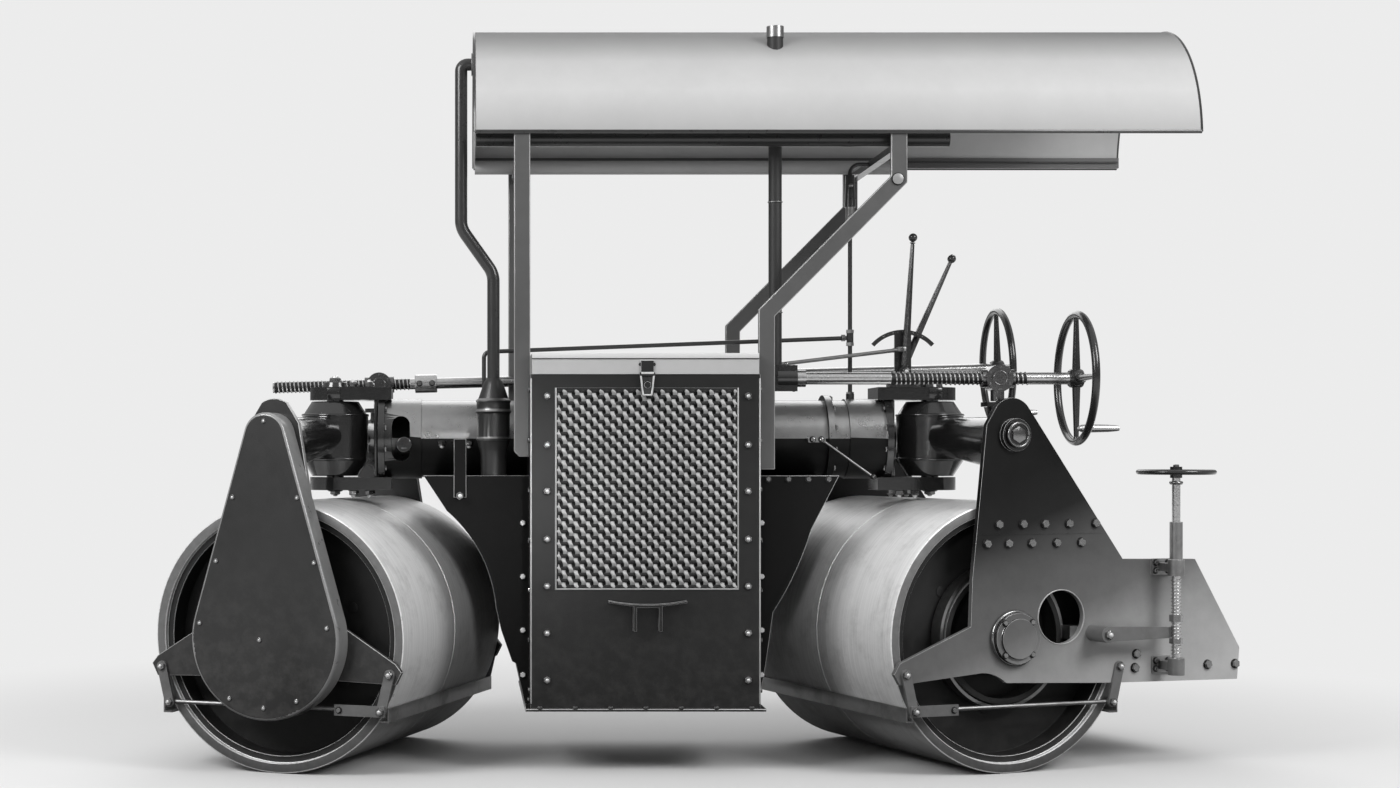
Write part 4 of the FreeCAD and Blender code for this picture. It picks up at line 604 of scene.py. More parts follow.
class Piece:
    """A shape that grows out of simple ones and becomes one object on a body."""

    def __init__(self, name: str, body: Body, *finishes: Surface, place: Matrix | None = None,
                 node: str | None = None) -> None:
        """Start an empty piece.

        Args:
            name: The object's name.
            body: The body that it rides on.
            finishes: One finish per material index. Washers and studs follow them.
            place: Matrix from the piece's coordinates to the row frame.
            node: The CAD node that it stands for.
        """
        self.name = name
        self.body = body
        self.finishes = finishes
        self.place = place or chassis_frame()
        self.node = node
        self.mesh = bmesh.new()

    @classmethod
    def of_node(cls, node: str, body: Body, *finishes: Surface, place: Matrix | None = None) -> "Piece":
        """Start a piece with a merged copy of its CAD node's mesh, whose flat faces are whole again."""
        piece = cls(node + "_dressed", body, *finishes, place=place, node=node)
        part = bmesh.new()
        part.from_mesh(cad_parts[node].data)
        bmesh.ops.remove_doubles(part, verts=part.verts, dist=0.00002)
        bmesh.ops.dissolve_limit(part, angle_limit=math.radians(0.4), verts=part.verts, edges=part.edges)
        piece.repeat(part, [piece.place.inverted()])
        return piece

    def repeat(self, part: bmesh.types.BMesh, places: list[Matrix], material: int = 0) -> None:
        """Add a copy of a part at each place and free the part.

        Args:
            part: The part's mesh.
            places: Matrices from the part's coordinates to the piece's.
            material: Material index of its faces.
        """
        for face in part.faces:
            face.material_index = material
        for place in places:
            data = bpy.data.meshes.new("part")
            part.to_mesh(data)
            data.transform(place)
            self.mesh.from_mesh(data)
            bpy.data.meshes.remove(data)
        part.free()

    def rod(self, place: Matrix, radius: float, depth: float, material: int = 0, sides: int = 32,
            top: float | None = None) -> None:
        """Add a cylinder or cone that stands on a place."""
        part = bmesh.new()
        cylinder(part, radius, depth, 0.0, sides, top)
        self.repeat(part, [place], material)

    def block(self, low: tuple, high: tuple, material: int = 0, round_by: float = 0.0) -> None:
        """Add a box between two corners.

        Args:
            low: Its lowest corner.
            high: Its highest corner.
            material: Material index of its faces.
            round_by: Width of its rounded edges.
        """
        part = bmesh.new()
        middle = (Vector(low) + Vector(high)) / 2
        size = Vector(high) - Vector(low)
        stretch = Matrix.Translation(middle) @ Matrix.Diagonal((*size, 1.0))
        bmesh.ops.create_cube(part, size=1.0, matrix=stretch)
        if round_by:
            bmesh.ops.bevel(part, geom=part.edges[:], offset=round_by, affect="EDGES", segments=2,
                            profile=0.5, material=-1)
        self.repeat(part, [Matrix.Identity(4)], material)

    def lathe(self, outline: list[tuple], place: Matrix, steps: int = 96, closed: bool = False,
              material: int = 0) -> None:
        """Spin an outline of (height, radius) points round a place's Z.

        Args:
            outline: The points, from one end to the other.
            place: Matrix from the outline's coordinates to the piece's.
            steps: Faces round the turn.
            closed: Whether the last point joins the first.
            material: Material index of its faces.
        """
        part = bmesh.new()
        verts = [part.verts.new((radius, 0.0, height)) for height, radius in outline]
        pairs = list(zip(verts, verts[1:])) + ([(verts[-1], verts[0])] if closed else [])
        edges = [part.edges.new(pair) for pair in pairs]
        bmesh.ops.spin(part, geom=verts + edges, cent=(0, 0, 0), axis=(0, 0, 1), angle=2 * math.pi,
                       steps=steps, use_merge=True, use_duplicate=False)
        bmesh.ops.remove_doubles(part, verts=part.verts, dist=0.00001)
        bmesh.ops.recalc_face_normals(part, faces=part.faces)
        self.repeat(part, [place], material)

    def arch(self, outline: list[tuple], centre: float, low: float) -> None:
        """Sweep a closed outline of (along X, radius) points over the machine from eave to eave.

        Args:
            outline: The points.
            centre: Height of the arch's centre.
            low: Angle of its ends above level, in radians.
        """
        part = bmesh.new()
        verts = [part.verts.new((x, radius * math.cos(low), centre + radius * math.sin(low)))
                 for x, radius in outline]
        end = part.faces.new(verts)
        bmesh.ops.spin(part, geom=verts + list(end.edges) + [end], cent=(0, 0, centre), axis=(1, 0, 0),
                       angle=math.pi - 2 * low, steps=72, use_merge=False, use_duplicate=False)
        bmesh.ops.recalc_face_normals(part, faces=part.faces)
        self.repeat(part, [Matrix.Identity(4)])

    def ring(self, place: Matrix, radius: float, thick: float, material: int = 0, steps: int = 96,
             sides: int = 12) -> None:
        """Add a round ring of round section."""
        turn = 2 * math.pi / sides
        outline = [(thick * math.sin(k * turn), radius + thick * math.cos(k * turn)) for k in range(sides)]
        self.lathe(outline, place, steps, True, material)

    def ball(self, place: Matrix, radius: float, material: int = 0) -> None:
        """Add a ball."""
        part = bmesh.new()
        bmesh.ops.create_uvsphere(part, u_segments=24, v_segments=16, radius=radius)
        self.repeat(part, [place], material)

    def fasten(self, fastener: Fastener, places: list[Matrix], material: int = 0) -> None:
        """Add a fastener at each place, each turned a little differently."""
        spun = [place @ Matrix.Rotation(0.7 * k, 4, "Z") for k, place in enumerate(places)]
        self.repeat(fastener.shape(), spun, material)
        if fastener.washer:
            # Washers are near black: painted shade round each head.
            self.repeat(fastener.disc(), spun, len(self.finishes))
        if fastener.stud:
            # Stud ends are near white: painted highlights.
            self.repeat(fastener.tip(), spun, len(self.finishes) + 1)

    def thread(self, place: Matrix, radius: float, length: float, pitch: float) -> None:
        """Add a raised screw thread round a place's Z.

        Args:
            place: Foot of the thread's axis.
            radius: Radius of the shaft under it.
            length: Length of the threaded stretch.
            pitch: Distance between turns.
        """
        part = bmesh.new()
        per_turn = 24
        turns = int(length / pitch)
        root, crest = radius - 0.002, radius + 0.0045
        outline = [(0.0, root), (0.14, crest), (0.4, crest), (0.54, root)]
        verts = [part.verts.new((r, 0.0, share * pitch)) for share, r in outline]
        edges = [part.edges.new(pair) for pair in zip(verts, verts[1:])]
        bmesh.ops.spin(part, geom=verts + edges, cent=(0, 0, 0), axis=(0, 0, 1),
                       dvec=(0, 0, pitch / per_turn), angle=2 * math.pi * turns, steps=per_turn * turns,
                       use_merge=False, use_duplicate=False)
        bmesh.ops.recalc_face_normals(part, faces=part.faces)
        self.repeat(part, [place])

    def paint(self, material: int, wanted: Callable[[Vector, Vector], bool]) -> None:
        """Give a material index to the faces whose centre and normal answer a test."""
        self.mesh.normal_update()
        for face in self.mesh.faces:
            if wanted(face.calc_center_median(), face.normal):
                face.material_index = material

    def done(self, rounding: float = 0.0, edge: int = -1, smooth: float = SMOOTH_LIMIT) -> None:
        """Turn the piece into an object at the origin that rides on its body.

        Args:
            rounding: Width of the rounding of its sharp edges in metres, or none at zero.
            edge: Material index of the rounding, or -1 to keep the faces' own.
            smooth: Edges flatter than this angle in degrees are shaded smooth.
        """
        bmesh.ops.transform(self.mesh, matrix=self.place, verts=self.mesh.verts)
        limit = math.radians(smooth)
        for face in self.mesh.faces:
            face.smooth = True
        for side in self.mesh.edges:
            side.smooth = len(side.link_faces) == 2 and side.calc_face_angle(0.0) < limit
        data = bpy.data.meshes.new(self.name)
        self.mesh.to_mesh(data)
        self.mesh.free()
        for finish in self.finishes + (WASHER_SHADE_BLACK, STUD_HIGHLIGHT):
            data.materials.append(finish.material())
        shown = bpy.data.objects.new(self.name, data)
        bpy.context.scene.collection.objects.link(shown)
        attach(shown, self.body.value)
        if self.node:
            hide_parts(self.node)
        if rounding:
            bevel = shown.modifiers.new("rounding", "BEVEL")
            bevel.width = rounding
            bevel.segments = 2
            bevel.limit_method = "ANGLE"
            bevel.angle_limit = math.radians(40.0)
            bevel.material = edge
        LOG.info("%s: %d faces on %s", self.name, len(data.polygons), self.body.value)


def build_rolls() -> None:
    """Turn both rolls: a shell in two halves, stiffening rings, web discs and a hub."""
    profile = [
        (-0.634, 0.559), (-0.634, 0.594), (-0.632, 0.5985), (-0.628, 0.6), (-0.0045, 0.6), (-0.003, 0.5975),
        (0.003, 0.5975), (0.0045, 0.6), (0.628, 0.6), (0.632, 0.5985), (0.634, 0.594), (0.634, 0.559),
        (0.63, 0.555), (0.613, 0.555), (0.612, 0.553), (0.612, 0.527), (0.609, 0.525), (0.502, 0.525),
        (0.5, 0.523), (0.5, 0.13), (0.506, 0.124), (0.608, 0.1), (0.615, 0.096), (0.615, 0.0603),
        (-0.615, 0.0603), (-0.615, 0.096), (-0.608, 0.1), (-0.506, 0.124), (-0.5, 0.13), (-0.5, 0.523),
        (-0.502, 0.525), (-0.609, 0.525), (-0.612, 0.527), (-0.612, 0.553), (-0.613, 0.555), (-0.63, 0.555),
    ]
    for end, body in (("left", Body.ROLL_LEFT), ("right", Body.ROLL_RIGHT)):
        roll = Piece(f"roll_{end}_turned", body, ROLL_FACE[end], ROLL_RIM, WEB_PAINT, RIM_EDGE_HIGHLIGHT,
                     place=yoke_frame(end), node=f"roll_{end}")
        roll.lathe(profile, at(0, 0, ROLL_R, "Y"), 160, True)
        roll.paint(1, lambda p, n: abs(p.y) > 0.629)
        roll.paint(2, lambda p, n: math.hypot(p.x, p.z - ROLL_R) < 0.5495)
        # The rim's chamfers are near white: painted highlight lines.
        roll.paint(3, lambda p, n: abs(p.y) > 0.6 and 0.2 < abs(n.y) < 0.98)
        for side, facing in SIDES:
            roll.fasten(ROLL_PLUG, around((0, side * 0.5, ROLL_R), 0.33, facing, 6, 0.4), 2)
        roll.done()


@dataclass(frozen=True)
class Wire:
    """One wire of the grille, which passes over and under the wires that cross it."""

    length: float
    pitch: float
    turn: int
    bend: float
    width: float
    crimp: float = 0.0062
    thick: float = 0.0062

    def shape(self) -> bmesh.types.BMesh:
        """Give the wire standing on zero along Z. It waves along Y and sways along X."""
        mesh = bmesh.new()
        count = round(self.length / self.pitch) * 6
        loops = []
        for k in range(count + 1):
            height = self.length * k / count
            phase = math.pi * (height / self.pitch - 0.5 + self.turn)
            x, y = self.bend * math.sin(phase), self.crimp * math.cos(phase)
            loops.append([mesh.verts.new((x + self.width * math.cos(a), y + self.thick * math.sin(a), height))
                          for a in (math.pi / 4 * s for s in range(8))])
        for lower, upper in zip(loops, loops[1:]):
            for s in range(8):
                mesh.faces.new((lower[s], lower[(s + 1) % 8], upper[(s + 1) % 8], upper[s]))
        return mesh


def build_grille() -> None:
    """Weave the grille out of pale upright wires and level ones darkened as painted shade, inside its frame,
    with light beads along three edges as painted highlights.
    """
    left, right, low, high = -0.392, 0.415, 0.812, 1.7
    columns, rows, middle_y = 30, 33, -0.6115
    step_x, step_z = (right - left) / columns, (high - low) / rows
    grille = Piece("grille_woven", Body.CHASSIS, WIRE, WIRE_SHADE, GRILLE_BEAD_HIGHLIGHT, HOUSING_PAINT, node="grille")
    lying = Matrix.Rotation(math.pi / 2, 4, "Y")
    for turn in (0, 1):
        uprights = [Matrix.Translation((left + step_x * (k + 0.5), middle_y, low))
                    for k in range(turn, columns, 2)]
        grille.repeat(Wire(high - low, step_z, turn, 0.0046, 0.0098).shape(), uprights)
        levels = [Matrix.Translation((left, middle_y, low + step_z * (k + 0.5))) @ lying
                  for k in range(turn, rows, 2)]
        # The level wires are near black: painted shade.
        grille.repeat(Wire(right - left, step_x, turn + 1, 0.0, 0.008).shape(), levels, 1)
    rim, bead = 0.013, 0.006
    for x0, z0, x1, z1 in ((left, low, right, low + rim), (left, high - rim, right, high),
                           (left, low, left + rim, high), (right - rim, low, right, high)):
        grille.block((x0, -0.622, z0), (x1, -0.6005, z1), 3, 0.002)
    # Light beads down the sides and along the bottom, none along the top: painted highlights.
    for x0, z0, x1, z1 in ((left, low, right, low + bead), (left, low, left + bead, high),
                           (right - bead, low, right, high)):
        grille.block((x0, -0.6255, z0), (x1, -0.61, z1), 2, 0.002)
    grille.done()


NUT_HEIGHTS = (1.664, 1.449, 1.246, 1.035, 0.828, 0.622, 0.415)


def build_housing() -> None:
    """Dress the engine housing and its floor, and set their nuts and bolts."""
    # Rounded edges of the housing and its floor take the light edge finish: rubbed paint and painted
    # highlight.
    Piece.of_node("engine_housing", Body.CHASSIS, HOUSING_PAINT, EDGE_WEAR_AND_HIGHLIGHT).done(0.003, 1)
    edges = Piece("housing_edge_highlights", Body.CHASSIS, EDGE_WEAR_AND_HIGHLIGHT)
    # Light strips down the front corners of the housing: painted highlights.
    for x in (-0.4985, 0.5085):
        edges.block((x - 0.0035, -0.6225, 0.31), (x + 0.0035, -0.6165, 1.742), round_by=0.002)
    edges.done()
    Piece.of_node("housing_floor", Body.CHASSIS, HOUSING_PAINT, EDGE_WEAR_AND_HIGHLIGHT).done(0.003, 1)
    nuts = Piece("housing_nuts", Body.CHASSIS, BOLT_STEEL)
    for x in (-0.428, 0.456):
        nuts.fasten(PANEL_NUT, [at(x, -0.62, z, "-Y") for z in NUT_HEIGHTS])
    for x in (-0.43, -0.24, 0.3, 0.45):
        nuts.fasten(PANEL_NUT, [at(x, 0.46, z, "Y") for z in (1.64, 1.2, 0.76, 0.4)])
    nuts.done()
    sides = Piece("housing_side_bolts", Body.CHASSIS, BOLT_STEEL)
    heights = over(1.69, 0.368, 7)
    for x, facing in ((-0.5, "-X"), (0.51, "X")):
        sides.fasten(SMALL_BOLT, [at(x, -0.6, z, facing) for z in heights])
        sides.fasten(SMALL_BOLT, [at(x, 0.44, z, facing) for z in heights])
        sides.fasten(SMALL_BOLT, [at(x, y, 0.312, facing) for y in over(-0.5, 0.34, 6)])
    for x in over(-0.46, 0.47, 7):
        sides.fasten(SMALL_BOLT, [at(x, -0.632, 0.29), at(x, 0.466, 0.29)])
    sides.done()
    far = Piece("housing_far_panel", Body.CHASSIS, HOUSING_PAINT, EDGE_WEAR_AND_HIGHLIGHT)
    far.block((-0.39, 0.4575, 0.5), (0.4, 0.4625, 1.6), round_by=0.002)
    for z in over(0.98, 1.5, 9):
        far.block((-0.3, 0.46, z), (-0.02, 0.472, z + 0.022), round_by=0.006)
        far.block((0.03, 0.46, z), (0.31, 0.472, z + 0.022), round_by=0.006)
    far.done()


def add_hasp(trim: Piece) -> None:
    """Add the tapered hasp, its hinge and its rivets to the near lid's trim."""
    trim.block((-0.022, -0.643, 1.752), (0.046, -0.632, 1.768), 1, 0.003)
    # The hasp's top strip, its ball and its rods are near white: painted highlights.
    trim.block((-0.016, -0.6445, 1.76), (0.04, -0.64, 1.769), 2, 0.002)
    trim.ball(at(0.012, -0.636, 1.722), 0.005, 2)
    for x, lean in ((-0.017, 0.12), (0.041, -0.12)):
        trim.rod(at(x, -0.636, 1.755) @ Matrix.Rotation(math.pi - lean, 4, "Y"), 0.0042, 0.088, 2, 12)
    trim.rod(at(-0.008, -0.636, 1.668, "X"), 0.0042, 0.04, 2, 12)
    trim.block((-0.013, -0.6345, 1.674), (0.037, -0.629, 1.75), 1, 0.002)
    trim.fasten(RIVET, [at(x, -0.624, 1.803, "-Y") for x in (-0.018, 0.042)], 1)


def build_lids() -> None:
    """Dress the two lids: a pale folded sheet with a step above its face, its upward faces and the strip on
    its step lighter as a painted highlight.
    """
    for name, body, side, face in (("lid_near", Body.LID_NEAR, -1, 0.625),
                                   ("lid_far", Body.LID_FAR, 1, 0.465)):
        lid = Piece.of_node(name, body, LID_PAINT, LID_TOP_HIGHLIGHT, WASHER_SHADE_BLACK)
        # Upward faces are lighter: painted highlight.
        lid.paint(1, lambda p, n: n.z > 0.5)
        # The near lid's latch faces take the washers' near black.
        if side < 0:
            lid.paint(2, lambda p, n: p.y < -0.6255 and -0.02 < p.x < 0.045 and p.z < 1.772)
        lid.done(0.004, 1)
        trim = Piece(name + "_trim", body, LID_TOP_HIGHLIGHT, LEVER_BLACK, STUD_HIGHLIGHT)
        inner, outer = sorted((side * face, side * (face + 0.0035)))
        # The strip on the step takes the same painted highlight.
        trim.block((-0.494, inner, 1.83), (0.504, outer, 1.8525), 0, 0.0015)
        trim.block((-0.494, inner, 1.827), (0.504, outer - 0.001 * side, 1.8305), 1)
        if side < 0:
            add_hasp(trim)
        trim.done()


def build_frames() -> None:
    """Dress the frame plates beside the housing and set their bolts and the strap's pin."""
    for name in ("frame_left", "frame_right"):
        # The frame plates' rounded edges take the same light edge finish.
        Piece.of_node(name, Body.CHASSIS, FRAME_PAINT, EDGE_WEAR_AND_HIGHLIGHT).done(0.002, 1)
    bolts = Piece("frame_bolts", Body.CHASSIS, BOLT_STEEL, STUD_HIGHLIGHT)
    for side, facing in SIDES:
        y = side * 0.456
        bolts.fasten(SMALL_BOLT, [at(x, y, 1.296, facing) for x in (0.57, 0.66, 0.75, 0.84)])
        # These bolts are near white all over: painted highlights.
        bolts.fasten(SMALL_BOLT, [at(x, y, z, facing) for x in (-0.53, 0.54)
                                  for z in (1.1, 0.86, 0.62, 0.42)], 1)
    bolts.fasten(PIN_NUT, [at(-0.811, -0.4815, 1.222, "-Y")])
    bolts.done()


CASE_SCREWS = ((0, 1.553), (-0.15, 1.22), (0.16, 1.22), (-0.23, 0.94), (0.24, 0.94), (-0.31, 0.666),
               (0.3, 0.66), (-0.165, 0.34), (0.157, 0.34), (0, 0.304))
LONG_PLATE_BOLTS = ((-0.08, 1.1), (0.045, 1.1), (0.158, 1.1), (0.285, 1.1), (0.425, 1.1), (-0.14, 1.016),
                    (-0.03, 1.016), (0.09, 1.016), (0.22, 1.016), (0.35, 1.016))
LONG_PLATE_FEET = ((0.645, 0.51), (0.637, 0.448), (1.036, 0.449), (1.19, 0.447))


def build_chain_cases() -> None:
    """Dress the chain cases with lighter rounded sides, a painted highlight, and their cap screws."""
    for end, side, facing in (("left", -1, "-Y"), ("right", 1, "Y")):
        case = Piece.of_node(f"chain_case_{end}", yoke_body(end), CASE_PAINT, CASE_EDGE_HIGHLIGHT,
                             place=yoke_frame(end))
        # Sides and faces that look right or up are lighter: painted highlight.
        case.paint(1, lambda p, n: abs(n.y) < 0.97 and (abs(n.y) > 0.2 or n.x > 0.3 or n.z > 0.4))
        case.done(smooth=50.0)
        screws = Piece(f"chain_case_{end}_screws", yoke_body(end), BOLT_STEEL, place=yoke_frame(end))
        screws.fasten(CASE_SCREW, [at(x, side * 0.775, z, facing) for x, z in CASE_SCREWS])
        screws.fasten(CASE_SCREW, [at(-0.02, side * 0.775, ROLL_R, facing)])
        screws.done()


def build_plates() -> None:
    """Dress the side plates with bosses, bolts, the joint of the long plate and its holes' rim."""
    for end, name in (("left", "near"), ("left", "far"), ("right", "near"), ("right", "far")):
        # The right plates take the plate paint with its painted shade.
        paint = CASE_PAINT if end == "left" else PLATE_SHADED_PAINT
        plate = Piece.of_node(f"yoke_plate_{end}_{name}", yoke_body(end), paint, EDGE_WEAR_AND_HIGHLIGHT, BOSS_PAINT,
                              FITTING_STEEL, CASE_EDGE_HIGHLIGHT, place=yoke_frame(end))
        plate.paint(2, lambda p, n: abs(p.y) > 0.671 and math.hypot(p.x, p.z - ROLL_R) < 0.114)
        plate.paint(2, lambda p, n: abs(p.y) > 0.671 and math.hypot(p.x, p.z - PIVOT_Z) < 0.074)
        plate.paint(0, lambda p, n: abs(n.y) > 0.9 and abs(p.y) > 0.69
                    and math.hypot(p.x, p.z - ROLL_R) < 0.083)
        if end == "right" and name == "near":
            plate.paint(3, lambda p, n: p.y < -0.672 and 0.72 < p.x < 0.83)
        # The top of the left near plate is lighter: painted highlight.
        if end == "left" and name == "near":
            plate.paint(4, lambda p, n: p.z > 0.9)
        # The plates' rounded edges take the light edge finish: rubbed paint and painted highlight.
        plate.done(0.0025, 1)
    for end, side, facing in (("left", 1, "Y"), ("right", -1, "-Y")):
        bolts = Piece(f"axle_bolts_{end}", yoke_body(end), BOLT_STEEL, place=yoke_frame(end))
        bolts.fasten(SMALL_BOLT, around((0, side * 0.705, ROLL_R), 0.1, facing, 4, math.pi / 4))
        bolts.fasten(Fastener(0.036, 0.008), [at(0, side * 0.706, PIVOT_Z, facing)])
        for y, z, radius, thick in ((0.706, PIVOT_Z, 0.052, 0.006), (0.703, ROLL_R, 0.084, 0.006),
                                    (0.68, ROLL_R, 0.116, 0.009)):
            bolts.ring(at(0, side * y, z, facing), radius, thick)
        bolts.done()
    long = Piece("long_plate_bolts", Body.YOKE_RIGHT, BOLT_STEEL, PLATE_SHADED_PAINT, EDGE_WEAR_AND_HIGHLIGHT,
                 place=yoke_frame("right"))
    long.fasten(PLATE_BOLT, [at(x, -PLATE_FACE, z, "-Y") for x, z in LONG_PLATE_BOLTS])
    long.fasten(PLATE_BOLT, [at(x, -PLATE_FACE, z, "-Y") for x, z in LONG_PLATE_FEET])
    long.fasten(PLATE_BOLT, [at(x, PLATE_FACE, z, "Y") for x, z in LONG_PLATE_FEET])
    long.block((-0.175, -0.6715, 1.055), (0.462, -PLATE_FACE, 1.058), 1)
    # A light ring round the hole: painted highlight.
    long.ring(at(0.245, -PLATE_FACE, 0.686, "-Y"), 0.1205, 0.003, 2)
    long.done()
    far = Piece("far_plate_bolts", Body.YOKE_LEFT, BOLT_STEEL, place=yoke_frame("left"))
    far.fasten(PLATE_BOLT, [at(x, PLATE_FACE, z, "Y") for x in (-0.11, 0.11) for z in (1.3, 1.12, 0.94)])
    far.done()
    for end in ("left", "right"):
        Piece.of_node(f"axle_{end}", yoke_body(end), SHAFT_STEEL, place=yoke_frame(end)).done()


def build_scrapers() -> None:
    """Dress the scrapers and set the nuts on their pins."""
    for end, up in (("left", 1), ("right", -1)):
        scraper = Piece.of_node(f"scrapers_{end}", yoke_body(end), LINK_STEEL, SCRAPER_IRON,
                                place=yoke_frame(end))
        scraper.paint(1, lambda p, n: abs(p.y) < PLATE_FACE and p.z < 0.32)
        scraper.done(0.0015)
        nuts = Piece(f"scraper_nuts_{end}", yoke_body(end), BOLT_STEEL, place=yoke_frame(end))
        for side, facing in SIDES:
            near, rod = side * 0.682, side * 0.692
            nuts.fasten(PIN_NUT, [at(x, near, 0.459, facing) for x in (-0.55, 0.55)])
            nuts.fasten(PIN_NUT, [at(up * 0.512, rod, 0.3, facing), at(-up * 0.512, near, 0.3, facing)])
            nuts.fasten(SMALL_BOLT, [at(up * 0.32, rod, 0.3, facing)])
        nuts.done()


def build_castings() -> None:
    """Dress the backbone, the crossheads and the kingpins with ribs, studs and bolts."""
    tube = Piece.of_node("backbone_tube", Body.CHASSIS, TUBE_PAINT, CASTING, TUBE_SHADE)
    tube.paint(1, lambda p, n: abs(p.x) > 1.13)
    # The downward faces of the tube's middle are near black: painted shade.
    tube.paint(2, lambda p, n: abs(p.x) < 1.13 and n.z < 0.02)
    tube.done(0.004)
    trim = Piece("backbone_trim", Body.CHASSIS, CASTING, BOLT_STEEL)
    for side, inward in ((-1, "X"), (1, "-X")):
        flange = around((side * 1.161, 0, TUBE_Z), 0.193, inward, 12, 0.26)
        sleeve = around((0.92, 0, TUBE_Z), 0.193, "X", 12, 0.26)
        for k in range(12):
            trim.fasten(SMALL_BOLT, [flange[k]], 1)
            if side > 0:
                trim.fasten(SMALL_BOLT, [sleeve[k]], 1)
        for height, facing in ((1.72, "Z"), (1.24, "-Z")):
            spots = [at(side * x, y, height, facing) for x in (1.235, 1.31) for y in (-0.09, 0.09)]
            trim.fasten(STUD_NUT, spots, 1)
        jaw, rib = side * KINGPIN_X, side * 1.205
        for y in (-0.1185, 0.1185):
            trim.block((jaw - 0.03, y - 0.004, 1.665), (jaw + 0.03, y + 0.004, 1.715), 0, 0.003)
        trim.block((rib - 0.008, -0.1, 1.3), (rib + 0.008, 0.1, 1.66), 0, 0.004)
    trim.rod(at(-1.069, -0.17, 1.452, "-Y"), 0.034, 0.04, 0, 40, 0.03)
    trim.ring(at(-1.069, -0.205, 1.452, "-Y"), 0.031, 0.005, 0, 48)
    trim.block((-1.081, -0.2135, 1.433), (-1.057, -0.209, 1.438), 1, 0.0015)
    trim.fasten(STUD_NUT, [at(x, -0.19, 1.47, "-Z") for x in (-0.895, -0.83, -0.77)], 1)
    trim.done()
    Piece.of_node("kingpins", Body.CHASSIS, CASTING).done(0.003)
    caps = Piece("kingpin_nuts", Body.CHASSIS, BOLT_STEEL)
    for x in (-KINGPIN_X, KINGPIN_X):
        caps.fasten(Fastener(0.03, 0.02, washer=0.034, stud=0.016), [at(x, 0, 1.745)])
        caps.fasten(Fastener(0.026, 0.016, stud=0.012), [at(x, 0, 1.2325, "-Z")])
    caps.done()
    for end in ("left", "right"):
        body, place = yoke_body(end), yoke_frame(end)
        Piece.of_node(f"crosshead_{end}", body, CASTING, BOSS_PAINT, place=place).done(0.004)
        ribs = Piece(f"crosshead_{end}_trim", body, CASTING, BOLT_STEEL, place=place)
        for z in (1.385, 1.59):
            ribs.ring(at(0, 0, z), 0.1515, 0.007)
        for side, facing in ((-1, "Y"), (1, "-Y")):
            for spot in around((0, side * 0.622, 1.452), 0.118, facing, 8, 0.4):
                ribs.fasten(SMALL_BOLT, [spot], 1)
        ribs.done()


SCREW_R = 0.0252


@dataclass(frozen=True)
class Screw:
    """One steering screw, measured along its axis from its nut as parked.

    The thread and the bearing are given by their two ends.
    """

    side: str
    origin: tuple[float, float, float]
    slope: float
    outline: tuple[tuple[float, float], ...]
    thread: tuple[float, float]
    wheel: float
    bearing: tuple[float, float]

    def frame(self) -> Matrix:
        """Give the matrix from the screw's coordinates to the row frame."""
        return Matrix.Translation(MIDDLE + Vector(self.origin)) @ Matrix.Rotation(self.slope, 4, "Y")

    def body(self, kind: str) -> Body:
        """Give the screw's or its nut's body."""
        return Body[f"{kind}_{self.side.upper()}"]


SCREWS = (
    Screw("near", (1.5809, -0.51374, 1.745), 0.0,
          ((-0.979, 0.0), (-0.979, 0.027), (-0.894, 0.027), (-0.894, 0.038), (-0.855, 0.038), (-0.855, 0.027),
           (-0.476, 0.027), (-0.474, 0.0252), (0.128, 0.0252), (0.13, 0.027), (0.3171, 0.027), (0.3171, 0.0)),
          (-0.474, 0.128), 0.3511, (-0.983, -0.895)),
    Screw("far", (-1.2126, 0.51213, 1.751), math.radians(-1.5),
          ((-0.528, 0.0), (-0.528, 0.027), (-0.52, 0.0252), (0.15, 0.0252), (0.152, 0.027), (0.1766, 0.027),
           (0.1766, 0.044), (0.179, 0.046), (0.283, 0.046), (0.2856, 0.044), (0.2856, 0.027), (1.8996, 0.027),
           (1.8996, 0.038), (1.9386, 0.038), (1.9386, 0.027), (3.0346, 0.027), (3.0346, 0.0)),
          (-0.52, 0.15), 3.0686, (1.8106, 1.8986)),
)
GRIP = [(0.0, 0.0), (0.0, 0.012), (0.016, 0.013), (0.02, 0.0165), (0.07, 0.0185), (0.14, 0.0165),
        (0.178, 0.0135), (0.19, 0.011), (0.195, 0.0)]
HUB = [(-0.034, 0.0), (-0.034, 0.034), (-0.028, 0.04), (-0.018, 0.042), (0.018, 0.042), (0.026, 0.038),
       (0.03, 0.03), (0.03, 0.0)]


